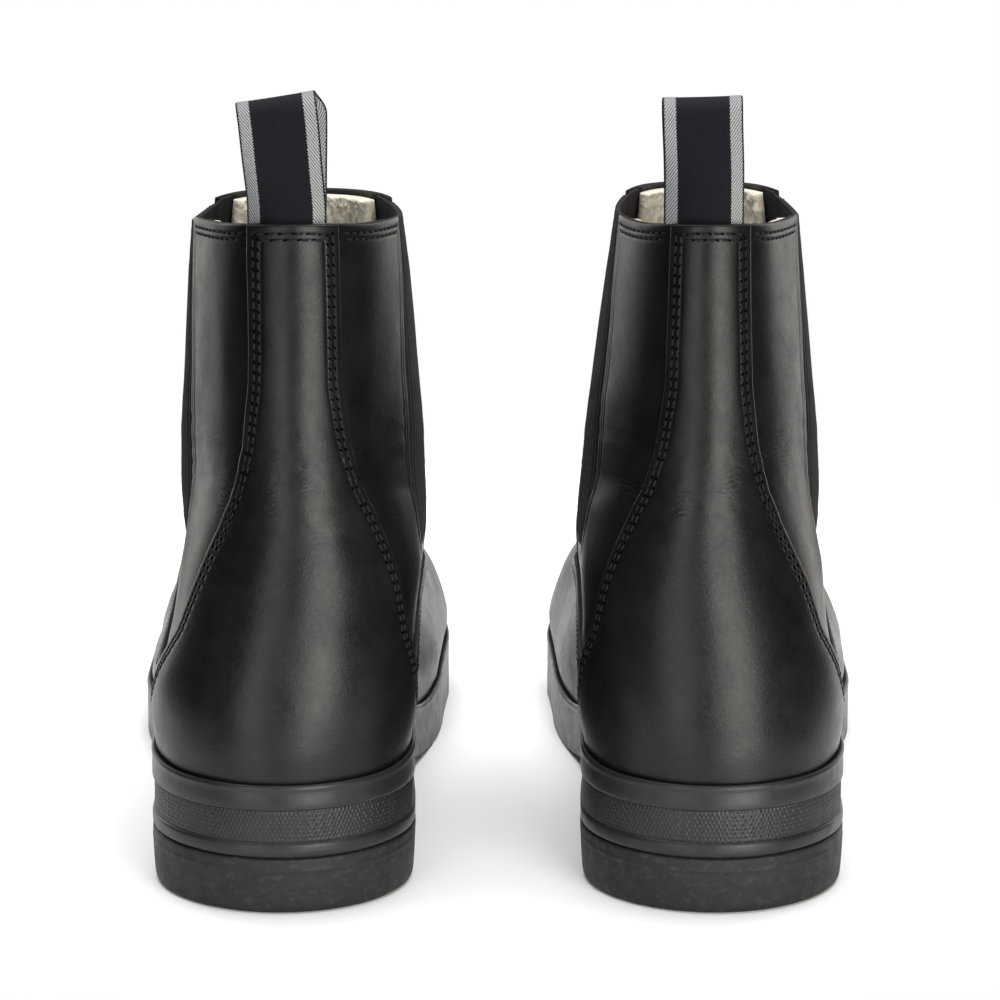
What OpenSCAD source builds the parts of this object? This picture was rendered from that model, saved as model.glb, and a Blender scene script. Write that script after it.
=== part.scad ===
// A pair of jodhpur (paddock) boots with elastic side gussets, pile lining, webbing pull loops
// and moulded rubber soles. Each boot is modelled in its own frame, toe towards +Y and outer side
// towards +X, then set beside its mirror image. Z = 0 is the ground, and the origin is midway
// between the boots on the ground.

/* [Pair] */
// Distance of each boot's centreline from the middle of the pair
boot_x = 59.8; // [57:0.2:90]

/* [Upper leather] */
// Thickness of the quarters and the front panels
leather = 1.5; // [1.2:0.1:1.6]
// Thickness of the vamp and of the counter with its back strap
overlay = 1.6; // [1.3:0.1:1.8]
// Thickness of the pile lining
lining = 3.6; // [2.5:0.1:4.0]

/* [Sole] */
// Height of the heel block
heel_h = 16; // [14:0.5:17]
// Forward end of the heel block
heel_front_y = -68; // [-74:1:-62]
// How far the sole stands out beyond the lower edge of the upper
sole_rim = 4.9; // [4:0.1:5.2]

/* [Pull loop] */
// Width of the webbing
webbing_w = 22; // [18:1:24]
// Thickness of the webbing
webbing_t = 1.1; // [0.9:0.1:1.3]
// Height of the loop above the top edge
loop_h = 33; // [26:1:38]

/* [Hidden] */
SIDES = ["left", "right"];
PIECES = ["vamp", "instep_panel", "front_shaft", "outer_quarter", "inner_quarter", "counter_strap",
          "outer_gusset", "inner_gusset", "rear_lining", "front_lining", "foot_lining", "toe_puff",
          "heel_stiffener", "footbed", "insole_board", "bottom_filler", "shank", "sole_unit",
          "heel_block", "pull_loop", "pull_loop_tail"];

// The last is drawn as rings round the foot, from the feather line up to the top edge. Each row is
// rear y, toe y | z at the rear, waist, ball and toe | half-width at heel, waist and ball |
// sideways shift at heel, ball and toe | radius of the rear and the toe end
RINGS = [
    [-130, 130, 36, 30, 15, 21, 31.7, 29.5, 39.9, 0, 2.1, -3, 33, 50],
    [-131.2, 130.5, 47, 41, 27, 31, 33.2, 31, 40.6, -0.3, 1.8, -3, 34, 48],
    [-131.4, 127.5, 60, 53, 40, 41, 33.3, 31.4, 36.2, -1.2, 0.3, -2.5, 34, 46],
    [-129.5, 116, 75, 66, 52, 50, 32.2, 31.4, 30.2, -2.6, -1.6, -2.5, 37, 42],
    [-125.5, 94, 90, 80, 63, 57, 32, 32.2, 27.4, -3.8, -3.2, -2, 42, 38],
    [-121, 62, 104, 94, 77, 69, 31.5, 32.8, 27.2, -4.2, -3.4, -2, 50, 36],
    [-118, 28, 116, 107, 96, 89, 31, 33, 28.8, -3.8, -3.3, -2.6, 56, 38],
    [-116.5, 0, 128, 122, 116, 112, 30.5, 33, 31, -3.5, -3.3, -3, 58, 40],
    [-116, -14, 145, 141, 139, 138, 29.5, 31.8, 30.8, -3.2, -2.8, -2.6, 58, 42],
    [-116.5, -19, 168, 165.5, 164.6, 162.6, 27.8, 29.4, 28.6, -3.1, -1.8, -1.6, 56, 44],
    [-117.5, -20.5, 190, 185, 184.6, 182.6, 25.8, 27.2, 26.5, -3, -1, -1, 54, 46]];
TOP = len(RINGS) - 1;

// Distance of the counter and back strap's edge ahead of the rear, at each ring
STRAP_REACH = [50, 42, 30.5, 21.6, 16.6, 12, 8.2, 5.8, 4.5, 4.3, 4.3];
// The gussets: rear and front edges, and the ring height of their lower ends
GUSSET_REAR_Y = -80;
GUSSET_FRONT_Y = -43;
GUSSET_FOOT_V = 4.75;
// Ring height of the vamp's top edge at the counter and at the throat
VAMP_REAR_V = 2.1;
VAMP_THROAT_V = 6.15;
// Ring height of the flex line across the instep
FLEX_FRONT_V = 6.9;
// Rise of the moving front above the flex line, in ring heights
FLEX_GAP_V = 0.05;
// Clearance between a gusset and the moving front, in columns
GUSSET_GAP = 0.03;

// Columns from the rear centre to the strap edge, gusset, gusset's front edge and front centre
COLS = [0, 4, 7, 10, 17];
// Rows from the feather line to the vamp's top edge, the flex line and the top edge
ROWS = [0, 8, 12, 20];
HALF = COLS[4];

// Clearance between the upper's lower edge and the top of the sole
FEATHER_GAP = 0.35;
// How far the panels' edges are drawn back from their design lines, in ring heights
GUSSET_LIFT = 0.02;
GUSSET_TRIM = 0.12;
LINING_TRIM = 0.04;
FOOT_LINING_TRIM = 0.03;
STIFFENER_LIFT = 0.05;

// Depths of the layers from the last's surface, outwards
WALL_IN = 0.1;
WALL_OUT = WALL_IN + leather;
SKIN_IN = WALL_OUT + 0.1;
SKIN_OUT = SKIN_IN + overlay;
STIFF_IN = -1.6;
STIFF_OUT = -0.1;
LINING_OUT = -1.8;
LINING_IN = LINING_OUT - lining;

// Sole: the top follows the foot from heel seat to toe, the bottom follows the ground
SEAT_Z = 36;
BALL_Z = 15;
TOE_Z = 22;
TOE_SPRING = 8;
SOLE_REAR_Y = -135;
SOLE_TOE_Y = 135;
TREAD_Y = [4, 84];
ANGLES = [for (a = [0:7.5:352.5]) a];

// Hinge of the pull loop, at the middle of the back edge
LOOP_X = -3;
LOOP_Y = -116.7;
LOOP_Z = 192.5;

function ease(a, b, x) = let (s = min(1, max(0, (x - a) / (b - a)))) s * s * (3 - 2 * s);
function mix(a, b, s) = a + (b - a) * s;

// Value at s from 0 to 3 of the smooth curve through four evenly spaced values
function through4(a, b, c, d, s) =
    let (d1 = b - a, d2 = c - 2 * b + a, d3 = d - 3 * c + 3 * b - a)
    a + s * d1 + s * (s - 1) / 2 * d2 + s * (s - 1) * (s - 2) / 6 * d3;

// Round end: 0 at the very end, 1 from distance r inwards
function round_end(d, r) = d >= r ? 1 : sqrt(max(0, 1 - pow(1 - d / r, 2)));

function sole_top(y) =
    mix(mix(SEAT_Z, BALL_Z, ease(-62, 26, y)), TOE_Z, ease(44, SOLE_TOE_Y, y));

function along(t) = (1 - cos(t)) / 2;
function half_width(R, u) =
    u < 0.42 ? mix(R[6], R[7], ease(0.14, 0.42, u)) : mix(R[7], R[8], ease(0.42, 0.7, u));
function shift(R, u) =
    mix(mix(R[9], R[10], ease(0.14, 0.7, u)), R[11], ease(0.66, 1.05, u));

// Point of one ring at angle t: 0 at the rear, 90 outer side, 180 toe, 270 inner side
function ring_point(k, t) =
    let (R = RINGS[k], u = along(t), y = mix(R[0], R[1], u),
         w = half_width(R, u) * round_end(y - R[0], R[12]) * round_end(R[1] - y, R[13]),
         side = sin(t) >= 0 ? 1 : -1)
    [shift(R, u) + side * w, y, k == 0 ? sole_top(y) + FEATHER_GAP : through4(R[2], R[3], R[4], R[5], 3 * u)];

function smooth(p0, p1, p2, p3, s) =
    0.5 * (2 * p1 + (p2 - p0) * s + (2 * p0 - 5 * p1 + 4 * p2 - p3) * s * s
           + (3 * p1 - p0 - 3 * p2 + p3) * s * s * s);

// Point of the last's surface at angle t and ring height v
function last_point(t, v) =
    let (k = min(TOP - 1, max(0, floor(v))), s = v - k,
         p1 = ring_point(k, t), p2 = ring_point(k + 1, t),
         p0 = k > 0 ? ring_point(k - 1, t) : 2 * p1 - p2,
         p3 = k + 2 <= TOP ? ring_point(k + 2, t) : 2 * p2 - p1)
    smooth(p0, p1, p2, p3, s);

function unit(p) = p / norm(p);
function normal(t, v) =
    let (dt = last_point(t + 1.5, v) - last_point(t - 1.5, v),
         dv = last_point(t, min(TOP, v + 0.06)) - last_point(t, max(0, v - 0.06)))
    unit(cross(dt, dv));
// The upper's lower edge stays clear of the sole however the last leans there
function above_sole(p) = [p[0], p[1], max(p[2], sole_top(p[1]) + FEATHER_GAP)];
function layer_point(t, v, depth) = above_sole(last_point(t, v) + depth * normal(t, v));

// Rear and front y of the last at ring height v, and the angle where it passes y
function between_rings(column, v) =
    let (k = min(TOP - 1, max(0, floor(v))), s = v - k,
         p1 = RINGS[k][column], p2 = RINGS[k + 1][column],
         p0 = k > 0 ? RINGS[k - 1][column] : 2 * p1 - p2,
         p3 = k + 2 <= TOP ? RINGS[k + 2][column] : 2 * p2 - p1)
    smooth(p0, p1, p2, p3, s);
function angle_at(y, v) =
    let (rear = between_rings(0, v), front = between_rings(1, v))
    acos(1 - 2 * min(1, max(0, (y - rear) / (front - rear))));
function strap_angle(v) =
    let (k = min(TOP - 1, floor(v)), reach = mix(STRAP_REACH[k], STRAP_REACH[k + 1], v - k))
    angle_at(between_rings(0, v) + reach, v);

// Grid angle of column c at ring height v, on the outer side
function column_angle(c, v) =
    let (a = strap_angle(v), b = angle_at(GUSSET_REAR_Y, v), d = angle_at(GUSSET_FRONT_Y, v))
    c <= COLS[1] ? mix(0, a, c / COLS[1])
    : c <= COLS[2] ? mix(a, b, (c - COLS[1]) / (COLS[2] - COLS[1]))
    : c <= COLS[3] ? mix(b, d, (c - COLS[2]) / (COLS[3] - COLS[2]))
    : mix(d, 180, (c - COLS[3]) / (COLS[4] - COLS[3]));
function folded(c) = abs(c) <= HALF ? abs(c) : 2 * HALF - abs(c);
function grid_angle(c, v) = let (t = column_angle(folded(c), v)) c < 0 ? 360 - t : c > HALF ? 360 - t : t;

// Design lines across the grid, by the column's place from the strap edge (0) to the front (1)
function forward(c) = max(0, (folded(c) - COLS[1]) / (HALF - COLS[1]));
function vamp_line(c) = mix(VAMP_REAR_V, VAMP_THROAT_V, pow(forward(c), 1.15));
function flex_line(c) =
    let (s = max(0, (folded(c) - COLS[3]) / (HALF - COLS[3])))
    mix(GUSSET_FOOT_V, FLEX_FRONT_V, 1 - pow(1 - s, 2));
function row_height(c, r) =
    r <= ROWS[1] ? mix(0, vamp_line(c), r / ROWS[1])
    : r <= ROWS[2] ? mix(vamp_line(c), flex_line(c), (r - ROWS[1]) / (ROWS[2] - ROWS[1]))
    : mix(flex_line(c), TOP, (r - ROWS[2]) / (ROWS[3] - ROWS[2]));

// A closed sheet of the upper: columns c0 to c1, rows from(c) to to(c), between two depths.
// Columns run on past HALF onto the inner side, and a sheet of all the columns closes on itself.
// lift raises the lowest row, trim lowers the top, and gaps draw in the first and last columns.
module sheet(c0, c1, r0, r1, depth_in, depth_out, lift = 0, trim = 0, gaps = [0, 0]) {
    ring = c1 - c0 == 2 * HALF;
    nc = c1 - c0 + (ring ? 0 : 1);
    nr = r1 - r0 + 1;
    cols = [c0:c0 + nc - 1];
    spans = [0:c1 - c0 - 1];
    ends = ring ? [] : [0];
    layer = function (depth) [
        for (i = cols) for (r = [r0:r1])
            let (c = i + (i == c0 ? gaps[0] : 0) - (i == c1 ? gaps[1] : 0),
                 v = row_height(c, r) + (r == r0 ? lift : 0) - (r == r1 ? trim : 0))
            layer_point(grid_angle(c, v), v, depth)];
    at = function (c, r, outer) outer * nc * nr + (c % nc) * nr + r;
    polyhedron(
        points = concat(layer(depth_in), layer(depth_out)),
        faces = concat(
            [for (c = spans) for (r = [0:nr - 2])
                [at(c, r, 0), at(c + 1, r, 0), at(c + 1, r + 1, 0), at(c, r + 1, 0)]],
            [for (c = spans) for (r = [0:nr - 2])
                [at(c, r, 1), at(c, r + 1, 1), at(c + 1, r + 1, 1), at(c + 1, r, 1)]],
            [for (c = spans)
                [at(c, 0, 0), at(c, 0, 1), at(c + 1, 0, 1), at(c + 1, 0, 0)]],
            [for (c = spans)
                [at(c, nr - 1, 0), at(c + 1, nr - 1, 0), at(c + 1, nr - 1, 1), at(c, nr - 1, 1)]],
            [for (e = ends) for (r = [0:nr - 2])
                [at(0, r, 0), at(0, r + 1, 0), at(0, r + 1, 1), at(0, r, 1)]],
            [for (e = ends) for (r = [0:nr - 2])
                [at(nc - 1, r, 0), at(nc - 1, r, 1), at(nc - 1, r + 1, 1), at(nc - 1, r + 1, 0)]]),
        convexity = 8);
}

// Plan outline of the foot at the feather line, moved outwards by grow
function plan(grow) =
    let (p = [for (t = ANGLES) let (q = ring_point(0, t)) [q[0], q[1]]], n = len(p))
    [for (i = [0:n - 1])
        let (d = p[(i + 1) % n] - p[(i + n - 1) % n])
        p[i] + grow * unit([-d[1], d[0]]) * -1];

// Part of the plan outline's prism that lies inside a side view given as y, z points
SOLE_ROOM_Z = 60;
SOLE_ROOM_X = 140;
module profiled(grow, side_view) {
    intersection() {
        linear_extrude(height = SOLE_ROOM_Z, convexity = 4) polygon(plan(grow));
        rotate([90, 0, 90])
            translate([0, 0, -SOLE_ROOM_X / 2])
                linear_extrude(height = SOLE_ROOM_X, convexity = 4) polygon(side_view);
    }
}

// Stations along the foot, and a band of constant height above the sole's top
function stations(y0, y1, n) = [for (i = [0:n]) mix(y0, y1, i / n)];
function band(y0, y1, low, high, n = 24) = concat(
    [for (y = stations(y0, y1, n)) [y, sole_top(y) + low]],
    [for (y = stations(y1, y0, n)) [y, sole_top(y) + high]]);

module for_side(side) {
    translate([side == "left" ? -boot_x : boot_x, 0, 0])
        mirror([side == "left" ? 1 : 0, 0, 0])
            children();
}

// Leather pieces of the upper
module vamp() {
    color("#191919") sheet(COLS[1], 2 * HALF - COLS[1], 0, ROWS[1], SKIN_IN, SKIN_OUT);
}

module instep_panel() {
    color("#191919") sheet(COLS[3], 2 * HALF - COLS[3], ROWS[1] - 1, ROWS[2], WALL_IN, WALL_OUT);
}

module front_shaft() {
    color("#1c1c1c")
        sheet(COLS[3], 2 * HALF - COLS[3], ROWS[2], ROWS[3], WALL_IN, WALL_OUT, lift = FLEX_GAP_V);
}

// The quarter is a wall behind the gusset and a wing that passes below it
module outer_quarter() {
    color("#171717") {
        sheet(0, COLS[2], 0, ROWS[3], WALL_IN, WALL_OUT);
        sheet(COLS[2], COLS[3], 0, ROWS[2], WALL_IN, WALL_OUT);
    }
}

module inner_quarter() {
    color("#171717") {
        sheet(-COLS[2], 0, 0, ROWS[3], WALL_IN, WALL_OUT);
        sheet(-COLS[3], -COLS[2], 0, ROWS[2], WALL_IN, WALL_OUT);
    }
}

module counter_strap() {
    color("#141414") sheet(-COLS[1], COLS[1], 0, ROWS[3], SKIN_IN, SKIN_OUT);
}

// Elastic gussets
module outer_gusset() {
    color("#0e0e10")
        sheet(COLS[2], COLS[3], ROWS[2], ROWS[3], WALL_IN, WALL_OUT,
              lift = GUSSET_LIFT, trim = GUSSET_TRIM, gaps = [0, GUSSET_GAP]);
}

module inner_gusset() {
    color("#0e0e10")
        sheet(-COLS[3], -COLS[2], ROWS[2], ROWS[3], WALL_IN, WALL_OUT,
              lift = GUSSET_LIFT, trim = GUSSET_TRIM, gaps = [GUSSET_GAP, 0]);
}

// Pile lining, in three pieces
module rear_lining() {
    color("#e9e2d2")
        sheet(-COLS[2], COLS[2], ROWS[2], ROWS[3], LINING_IN, LINING_OUT,
              lift = GUSSET_LIFT, trim = LINING_TRIM);
}

module front_lining() {
    color("#e9e2d2")
        sheet(COLS[3], 2 * HALF - COLS[3], ROWS[2], ROWS[3], LINING_IN, LINING_OUT,
              lift = FLEX_GAP_V, trim = LINING_TRIM);
}

module foot_lining() {
    color("#e4dccb") sheet(0, 2 * HALF, 1, ROWS[2], LINING_IN, LINING_OUT, trim = FOOT_LINING_TRIM);
}

// Stiffening pieces between the lining and the leather
module toe_puff() {
    color("#c9b48c") sheet(HALF - 4, HALF + 4, 0, 3, STIFF_IN, STIFF_OUT, lift = STIFFENER_LIFT);
}

module heel_stiffener() {
    color("#c9b48c") sheet(-COLS[1], COLS[1], 0, ROWS[1] - 1, STIFF_IN, STIFF_OUT, lift = STIFFENER_LIFT);
}

// Bottom pieces, from the foot down to the ground
BOARD_Z = [0.3, 2.3];
BOARD_INSET = 3.2;
BOARD_Y = [-131, 131];
FOOTBED_Z = [2.5, 7.5];
FOOTBED_INSET = 7.5;
FOOTBED_Y = [-125, 122];
POCKET_Z = -3;
POCKET_INSET = 7.8;
POCKET_Y = [-120.3, 118.3];
FILLER_ROOM = [0.2, 0.1];

module footbed() {
    color("#e8e0d0") profiled(-FOOTBED_INSET, band(FOOTBED_Y[0], FOOTBED_Y[1], FOOTBED_Z[0], FOOTBED_Z[1]));
}

module insole_board() {
    color("#b79a6b") profiled(-BOARD_INSET, band(BOARD_Y[0], BOARD_Y[1], BOARD_Z[0], BOARD_Z[1]));
}

module bottom_filler() {
    color("#7d6a4a")
        difference() {
            profiled(-POCKET_INSET - FILLER_ROOM[0],
                     band(POCKET_Y[0] + FILLER_ROOM[0], POCKET_Y[1] - FILLER_ROOM[0],
                          POCKET_Z + FILLER_ROOM[1], FILLER_ROOM[1]));
            shank_slot(SHANK_ROOM);
        }
}

// The shank lies along the waist, from the heel seat to behind the ball
SHANK_Y = [-108, -4];
SHANK_W = 14;
SHANK_T = 1.4;
SHANK_LIFT = 0.3;
SHANK_ROOM = 0.15;
module shank_slot(room) {
    rotate([90, 0, 90])
        translate([0, 0, -SHANK_W / 2 - room])
            linear_extrude(height = SHANK_W + 2 * room)
                polygon(band(SHANK_Y[0] - room, SHANK_Y[1] + room, POCKET_Z + SHANK_LIFT - room,
                             POCKET_Z + SHANK_LIFT + SHANK_T + room, 14));
}

module shank() {
    color("#9a9ca0") shank_slot(0);
}

// Lower edge of the sole unit in side view, from the toe back to the heel seat
SOLE_FLOOR = concat(
    [for (y = stations(SOLE_TOE_Y + 1, TREAD_Y[1], 8))
        [y, TOE_SPRING * pow((y - TREAD_Y[1]) / (SOLE_TOE_Y - TREAD_Y[1]), 2)]],
    [for (y = stations(TREAD_Y[0], heel_front_y, 9))
        [y, (heel_h + 0.2) * pow(ease(TREAD_Y[0] + 14, heel_front_y, y), 1.4) * (y < TREAD_Y[0] ? 1 : 0)]],
    [[SOLE_REAR_Y - 1, heel_h + 0.2]]);

module sole_unit() {
    color("#1d1e20")
        difference() {
            profiled(sole_rim, concat(
                [for (y = stations(SOLE_REAR_Y - 1, SOLE_TOE_Y + 1, 30)) [y, sole_top(y)]],
                SOLE_FLOOR));
            profiled(-POCKET_INSET, band(POCKET_Y[0], POCKET_Y[1], POCKET_Z, 1));
        }
}

// The heel block has a shallow groove under the sole unit
GROOVE_H = 0.6;
GROOVE_DEPTH = 0.8;
module heel_block() {
    heel_side = function (z0, z1) [[SOLE_REAR_Y - 1, z0], [heel_front_y, z0], [heel_front_y, z1],
                                   [SOLE_REAR_Y - 1, z1]];
    color("#1a1b1d") {
        profiled(sole_rim, heel_side(0, heel_h - GROOVE_H));
        profiled(sole_rim - GROOVE_DEPTH, heel_side(heel_h - GROOVE_H, heel_h));
    }
}

// Pull loop: one strip of webbing folded into a narrow teardrop, its ends sewn in behind the strap
LOOP_FOOT = 1.3;
LOOP_BELLY = 5.6;
LOOP_TURNS = [for (a = [-20:20:200]) a];
function teardrop(inset) =
    let (r = LOOP_BELLY - inset, top = loop_h - 1.5 - LOOP_BELLY)
    concat([for (a = LOOP_TURNS) [r * cos(a), top + r * sin(a)]],
           [[-LOOP_FOOT + inset * 0.75, inset == 0 ? -0.9 : 5.5],
            [LOOP_FOOT - inset * 0.75, inset == 0 ? -0.9 : 5.5]]);

module pull_loop() {
    color("#8d8f94")
        translate([LOOP_X, LOOP_Y, LOOP_Z])
            rotate([90, 0, 90])
                translate([0, 0, -webbing_w / 2])
                    linear_extrude(height = webbing_w, convexity = 4)
                        difference() {
                            polygon(teardrop(0));
                            polygon(teardrop(webbing_t));
                        }
}

// The two sewn-in ends lie between the lining and the leather, down from the top edge
TAIL_DEPTHS = [-1.65, -0.05];
TAIL_FOOT_Z = 170;
TAIL_ROOM = [80, 40];
module pull_loop_tail() {
    color("#8d8f94")
        intersection() {
            sheet(-COLS[1], COLS[1], ROWS[2], ROWS[3], TAIL_DEPTHS[0], TAIL_DEPTHS[1]);
            translate([LOOP_X - webbing_w / 2, SOLE_REAR_Y, TAIL_FOOT_Z])
                cube([webbing_w, TAIL_ROOM[0], TAIL_ROOM[1]]);
        }
}

module piece(p) {
    if (p == "vamp") vamp();
    if (p == "instep_panel") instep_panel();
    if (p == "front_shaft") front_shaft();
    if (p == "outer_quarter") outer_quarter();
    if (p == "inner_quarter") inner_quarter();
    if (p == "counter_strap") counter_strap();
    if (p == "outer_gusset") outer_gusset();
    if (p == "inner_gusset") inner_gusset();
    if (p == "rear_lining") rear_lining();
    if (p == "front_lining") front_lining();
    if (p == "foot_lining") foot_lining();
    if (p == "toe_puff") toe_puff();
    if (p == "heel_stiffener") heel_stiffener();
    if (p == "footbed") footbed();
    if (p == "insole_board") insole_board();
    if (p == "bottom_filler") bottom_filler();
    if (p == "shank") shank();
    if (p == "sole_unit") sole_unit();
    if (p == "heel_block") heel_block();
    if (p == "pull_loop") pull_loop();
    if (p == "pull_loop_tail") pull_loop_tail();
}

for (side = SIDES)
    for (p = PIECES)
        for_side(side) piece(p);
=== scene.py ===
"""Looks of a pair of jodhpur boots: leather uppers with elastic gussets, pile lining, webbing pull
loops and rubber soles. Every surface of a boot is laid over one smooth form, the last, which is
described in millimetres in the boot's own frame: toe towards +Y, outer side towards +X."""

import math

import bpy
import numpy as np
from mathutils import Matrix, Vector
from mathutils.bvhtree import BVHTree


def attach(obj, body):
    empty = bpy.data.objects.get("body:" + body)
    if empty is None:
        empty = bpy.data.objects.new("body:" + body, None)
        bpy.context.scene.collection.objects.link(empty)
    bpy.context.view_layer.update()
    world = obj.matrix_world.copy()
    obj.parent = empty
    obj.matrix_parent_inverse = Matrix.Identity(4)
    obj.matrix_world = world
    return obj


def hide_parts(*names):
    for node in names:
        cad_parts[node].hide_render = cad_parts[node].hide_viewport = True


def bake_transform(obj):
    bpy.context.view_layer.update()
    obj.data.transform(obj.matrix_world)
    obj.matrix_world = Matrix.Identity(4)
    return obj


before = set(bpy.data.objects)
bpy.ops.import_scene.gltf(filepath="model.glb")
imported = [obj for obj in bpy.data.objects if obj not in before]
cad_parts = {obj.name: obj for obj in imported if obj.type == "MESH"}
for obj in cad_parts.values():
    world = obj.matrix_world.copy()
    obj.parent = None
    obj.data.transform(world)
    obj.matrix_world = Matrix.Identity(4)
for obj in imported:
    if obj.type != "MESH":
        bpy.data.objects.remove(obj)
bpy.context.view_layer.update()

MM = 0.001
BOOT_X = 59.8
SIDES = {"left": -1, "right": 1}


# ---------------------------------------------------------------- camera

CAMERA_PLACE = (0.0006, -1.635, 0.500)
CAMERA_PITCH = 14.31
CAMERA_LENS, CAMERA_SENSOR = 207.1, 36


def make_camera():
    """A long lens behind the heels, looking slightly down."""
    data = bpy.data.cameras.new("camera")
    data.lens, data.sensor_width = CAMERA_LENS, CAMERA_SENSOR
    data.clip_start, data.clip_end = 0.1, 20
    camera = bpy.data.objects.new("camera", data)
    camera.location = CAMERA_PLACE
    camera.rotation_euler = (math.radians(90 - CAMERA_PITCH), 0, 0)
    bpy.context.scene.collection.objects.link(camera)
    bpy.context.scene.camera = camera


# ---------------------------------------------------------------- the last

# Rings from the feather line to the top edge: rear y, toe y | z at the rear, waist, ball and toe |
# half-width at heel, waist and ball | sideways shift at heel, ball and toe | end radii
RINGS = np.array([
    [-130, 130, 36, 30, 15, 21, 31.7, 29.5, 39.9, 0, 2.1, -3, 33, 50],
    [-131.2, 130.5, 47, 41, 27, 31, 33.2, 31, 40.6, -0.3, 1.8, -3, 34, 48],
    [-131.4, 127.5, 60, 53, 40, 41, 33.3, 31.4, 36.2, -1.2, 0.3, -2.5, 34, 46],
    [-129.5, 116, 75, 66, 52, 50, 32.2, 31.4, 30.2, -2.6, -1.6, -2.5, 37, 42],
    [-125.5, 94, 90, 80, 63, 57, 32, 32.2, 27.4, -3.8, -3.2, -2, 42, 38],
    [-121, 62, 104, 94, 77, 69, 31.5, 32.8, 27.2, -4.2, -3.4, -2, 50, 36],
    [-118, 28, 116, 107, 96, 89, 31, 33, 28.8, -3.8, -3.3, -2.6, 56, 38],
    [-116.5, 0, 128, 122, 116, 112, 30.5, 33, 31, -3.5, -3.3, -3, 58, 40],
    [-116, -14, 145, 141, 139, 138, 29.5, 31.8, 30.8, -3.2, -2.8, -2.6, 58, 42],
    [-116.5, -19, 168, 165.5, 164.6, 162.6, 27.8, 29.4, 28.6, -3.1, -1.8, -1.6, 56, 44],
    [-117.5, -20.5, 190, 185, 184.6, 182.6, 25.8, 27.2, 26.5, -3, -1, -1, 54, 46]])
TOP = len(RINGS) - 1
# How far the counter and back strap reach forward from the rear, at each ring
STRAP_REACH = np.array([50, 42, 30.5, 21.6, 16.6, 12, 8.2, 5.8, 4.5, 4.3, 4.3])
# The gussets: front and rear edges, foot of the elastic and foot of the opening in the leather
GUSSET_REAR_Y, GUSSET_FRONT_Y, GUSSET_FOOT_V = -80, -43, 4.75
OPENING_FOOT_V, OPENING_REACH, OPENING_RISE = 4.27, 10.0, 0.6
# How far behind the opening's front edge, at its foot, the quarter meets the front panel
SPLIT_BACK = 4.5
# The vamp's upper edge at the strap and at the throat, and the flex line's front
VAMP_REAR_V, VAMP_THROAT_V = 2.1, 6.15
FLEX_FRONT_V = 6.9
# Design columns: rear centre, strap edge, gusset's rear and front edges, front centre
COLS = [0, 4, 7, 10, 17]
HALF = COLS[4]
# The sole's top edge at the heel, ball and toe, and the toe spring and the arch below it
FEATHER_GAP = 0.35
HEEL_TOP_Z, BALL_TOP_Z, TOE_TOP_Z = 36.0, 15.0, 22.0
WAIST_Y, FORE_Y = (-62, 26), (44, 135)
TOE_SPRING, SPRING_Y = 8, (84, 51)
ARCH_H, ARCH_Y, ARCH_END_Y, ARCH_POWER = 16.2, (40, -68), 34, 1.2
# Shares of the length at the heel, waist and ball, and where the shift passes on to the toe's
HEEL_SHARE, WAIST_SHARE, BALL_SHARE = 0.14, 0.42, 0.7
TOE_SHARES = (0.66, 1.05)


def ease(a, b, x):
    s = np.clip((x - a) / (b - a), 0, 1)
    return s * s * (3 - 2 * s)


def mix(a, b, s):
    return a + (b - a) * s


def through4(a, b, c, d, s):
    """The cubic through four values at s = 0, 1, 2 and 3."""
    d1, d2, d3 = b - a, c - 2 * b + a, d - 3 * c + 3 * b - a
    return a + s * d1 + s * (s - 1) / 2 * d2 + s * (s - 1) * (s - 2) / 6 * d3


def round_end(d, r):
    """Share of the full width at a distance d from a rounded end."""
    return np.sqrt(np.clip(1 - (1 - np.clip(d / r, 0, 1)) ** 2, 0, 1))


def sole_top(y):
    return mix(mix(HEEL_TOP_Z, BALL_TOP_Z, ease(*WAIST_Y, y)), TOE_TOP_Z, ease(*FORE_Y, y))


def sole_floor(y):
    toe = TOE_SPRING * (np.clip((y - SPRING_Y[0]) / SPRING_Y[1], 0, 1)) ** 2
    arch = ARCH_H * ease(*ARCH_Y, y) ** ARCH_POWER * (y < ARCH_END_Y)
    return toe + arch


def ring_point(k, t):
    """Point of ring k at angle t."""
    r = np.moveaxis(RINGS[k], -1, 0)
    u = (1 - np.cos(np.radians(t))) / 2
    y = mix(r[0], r[1], u)
    half = np.where(u < WAIST_SHARE, mix(r[6], r[7], ease(HEEL_SHARE, WAIST_SHARE, u)),
                    mix(r[7], r[8], ease(WAIST_SHARE, BALL_SHARE, u)))
    half = half * round_end(y - r[0], r[12]) * round_end(r[1] - y, r[13])
    shift = mix(mix(r[9], r[10], ease(HEEL_SHARE, BALL_SHARE, u)), r[11], ease(*TOE_SHARES, u))
    z = np.where(k == 0, sole_top(y) + FEATHER_GAP, through4(r[2], r[3], r[4], r[5], 3 * u))
    side = np.where(np.sin(np.radians(t)) >= 0, 1, -1)
    return np.stack([shift + side * half, y, z], -1)


def smooth_through(p0, p1, p2, p3, s):
    """The smooth curve from p1 to p2 that its neighbours bend."""
    return 0.5 * (2 * p1 + (p2 - p0) * s + (2 * p0 - 5 * p1 + 4 * p2 - p3) * s * s
                  + (3 * p1 - p0 - 3 * p2 + p3) * s ** 3)


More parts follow.
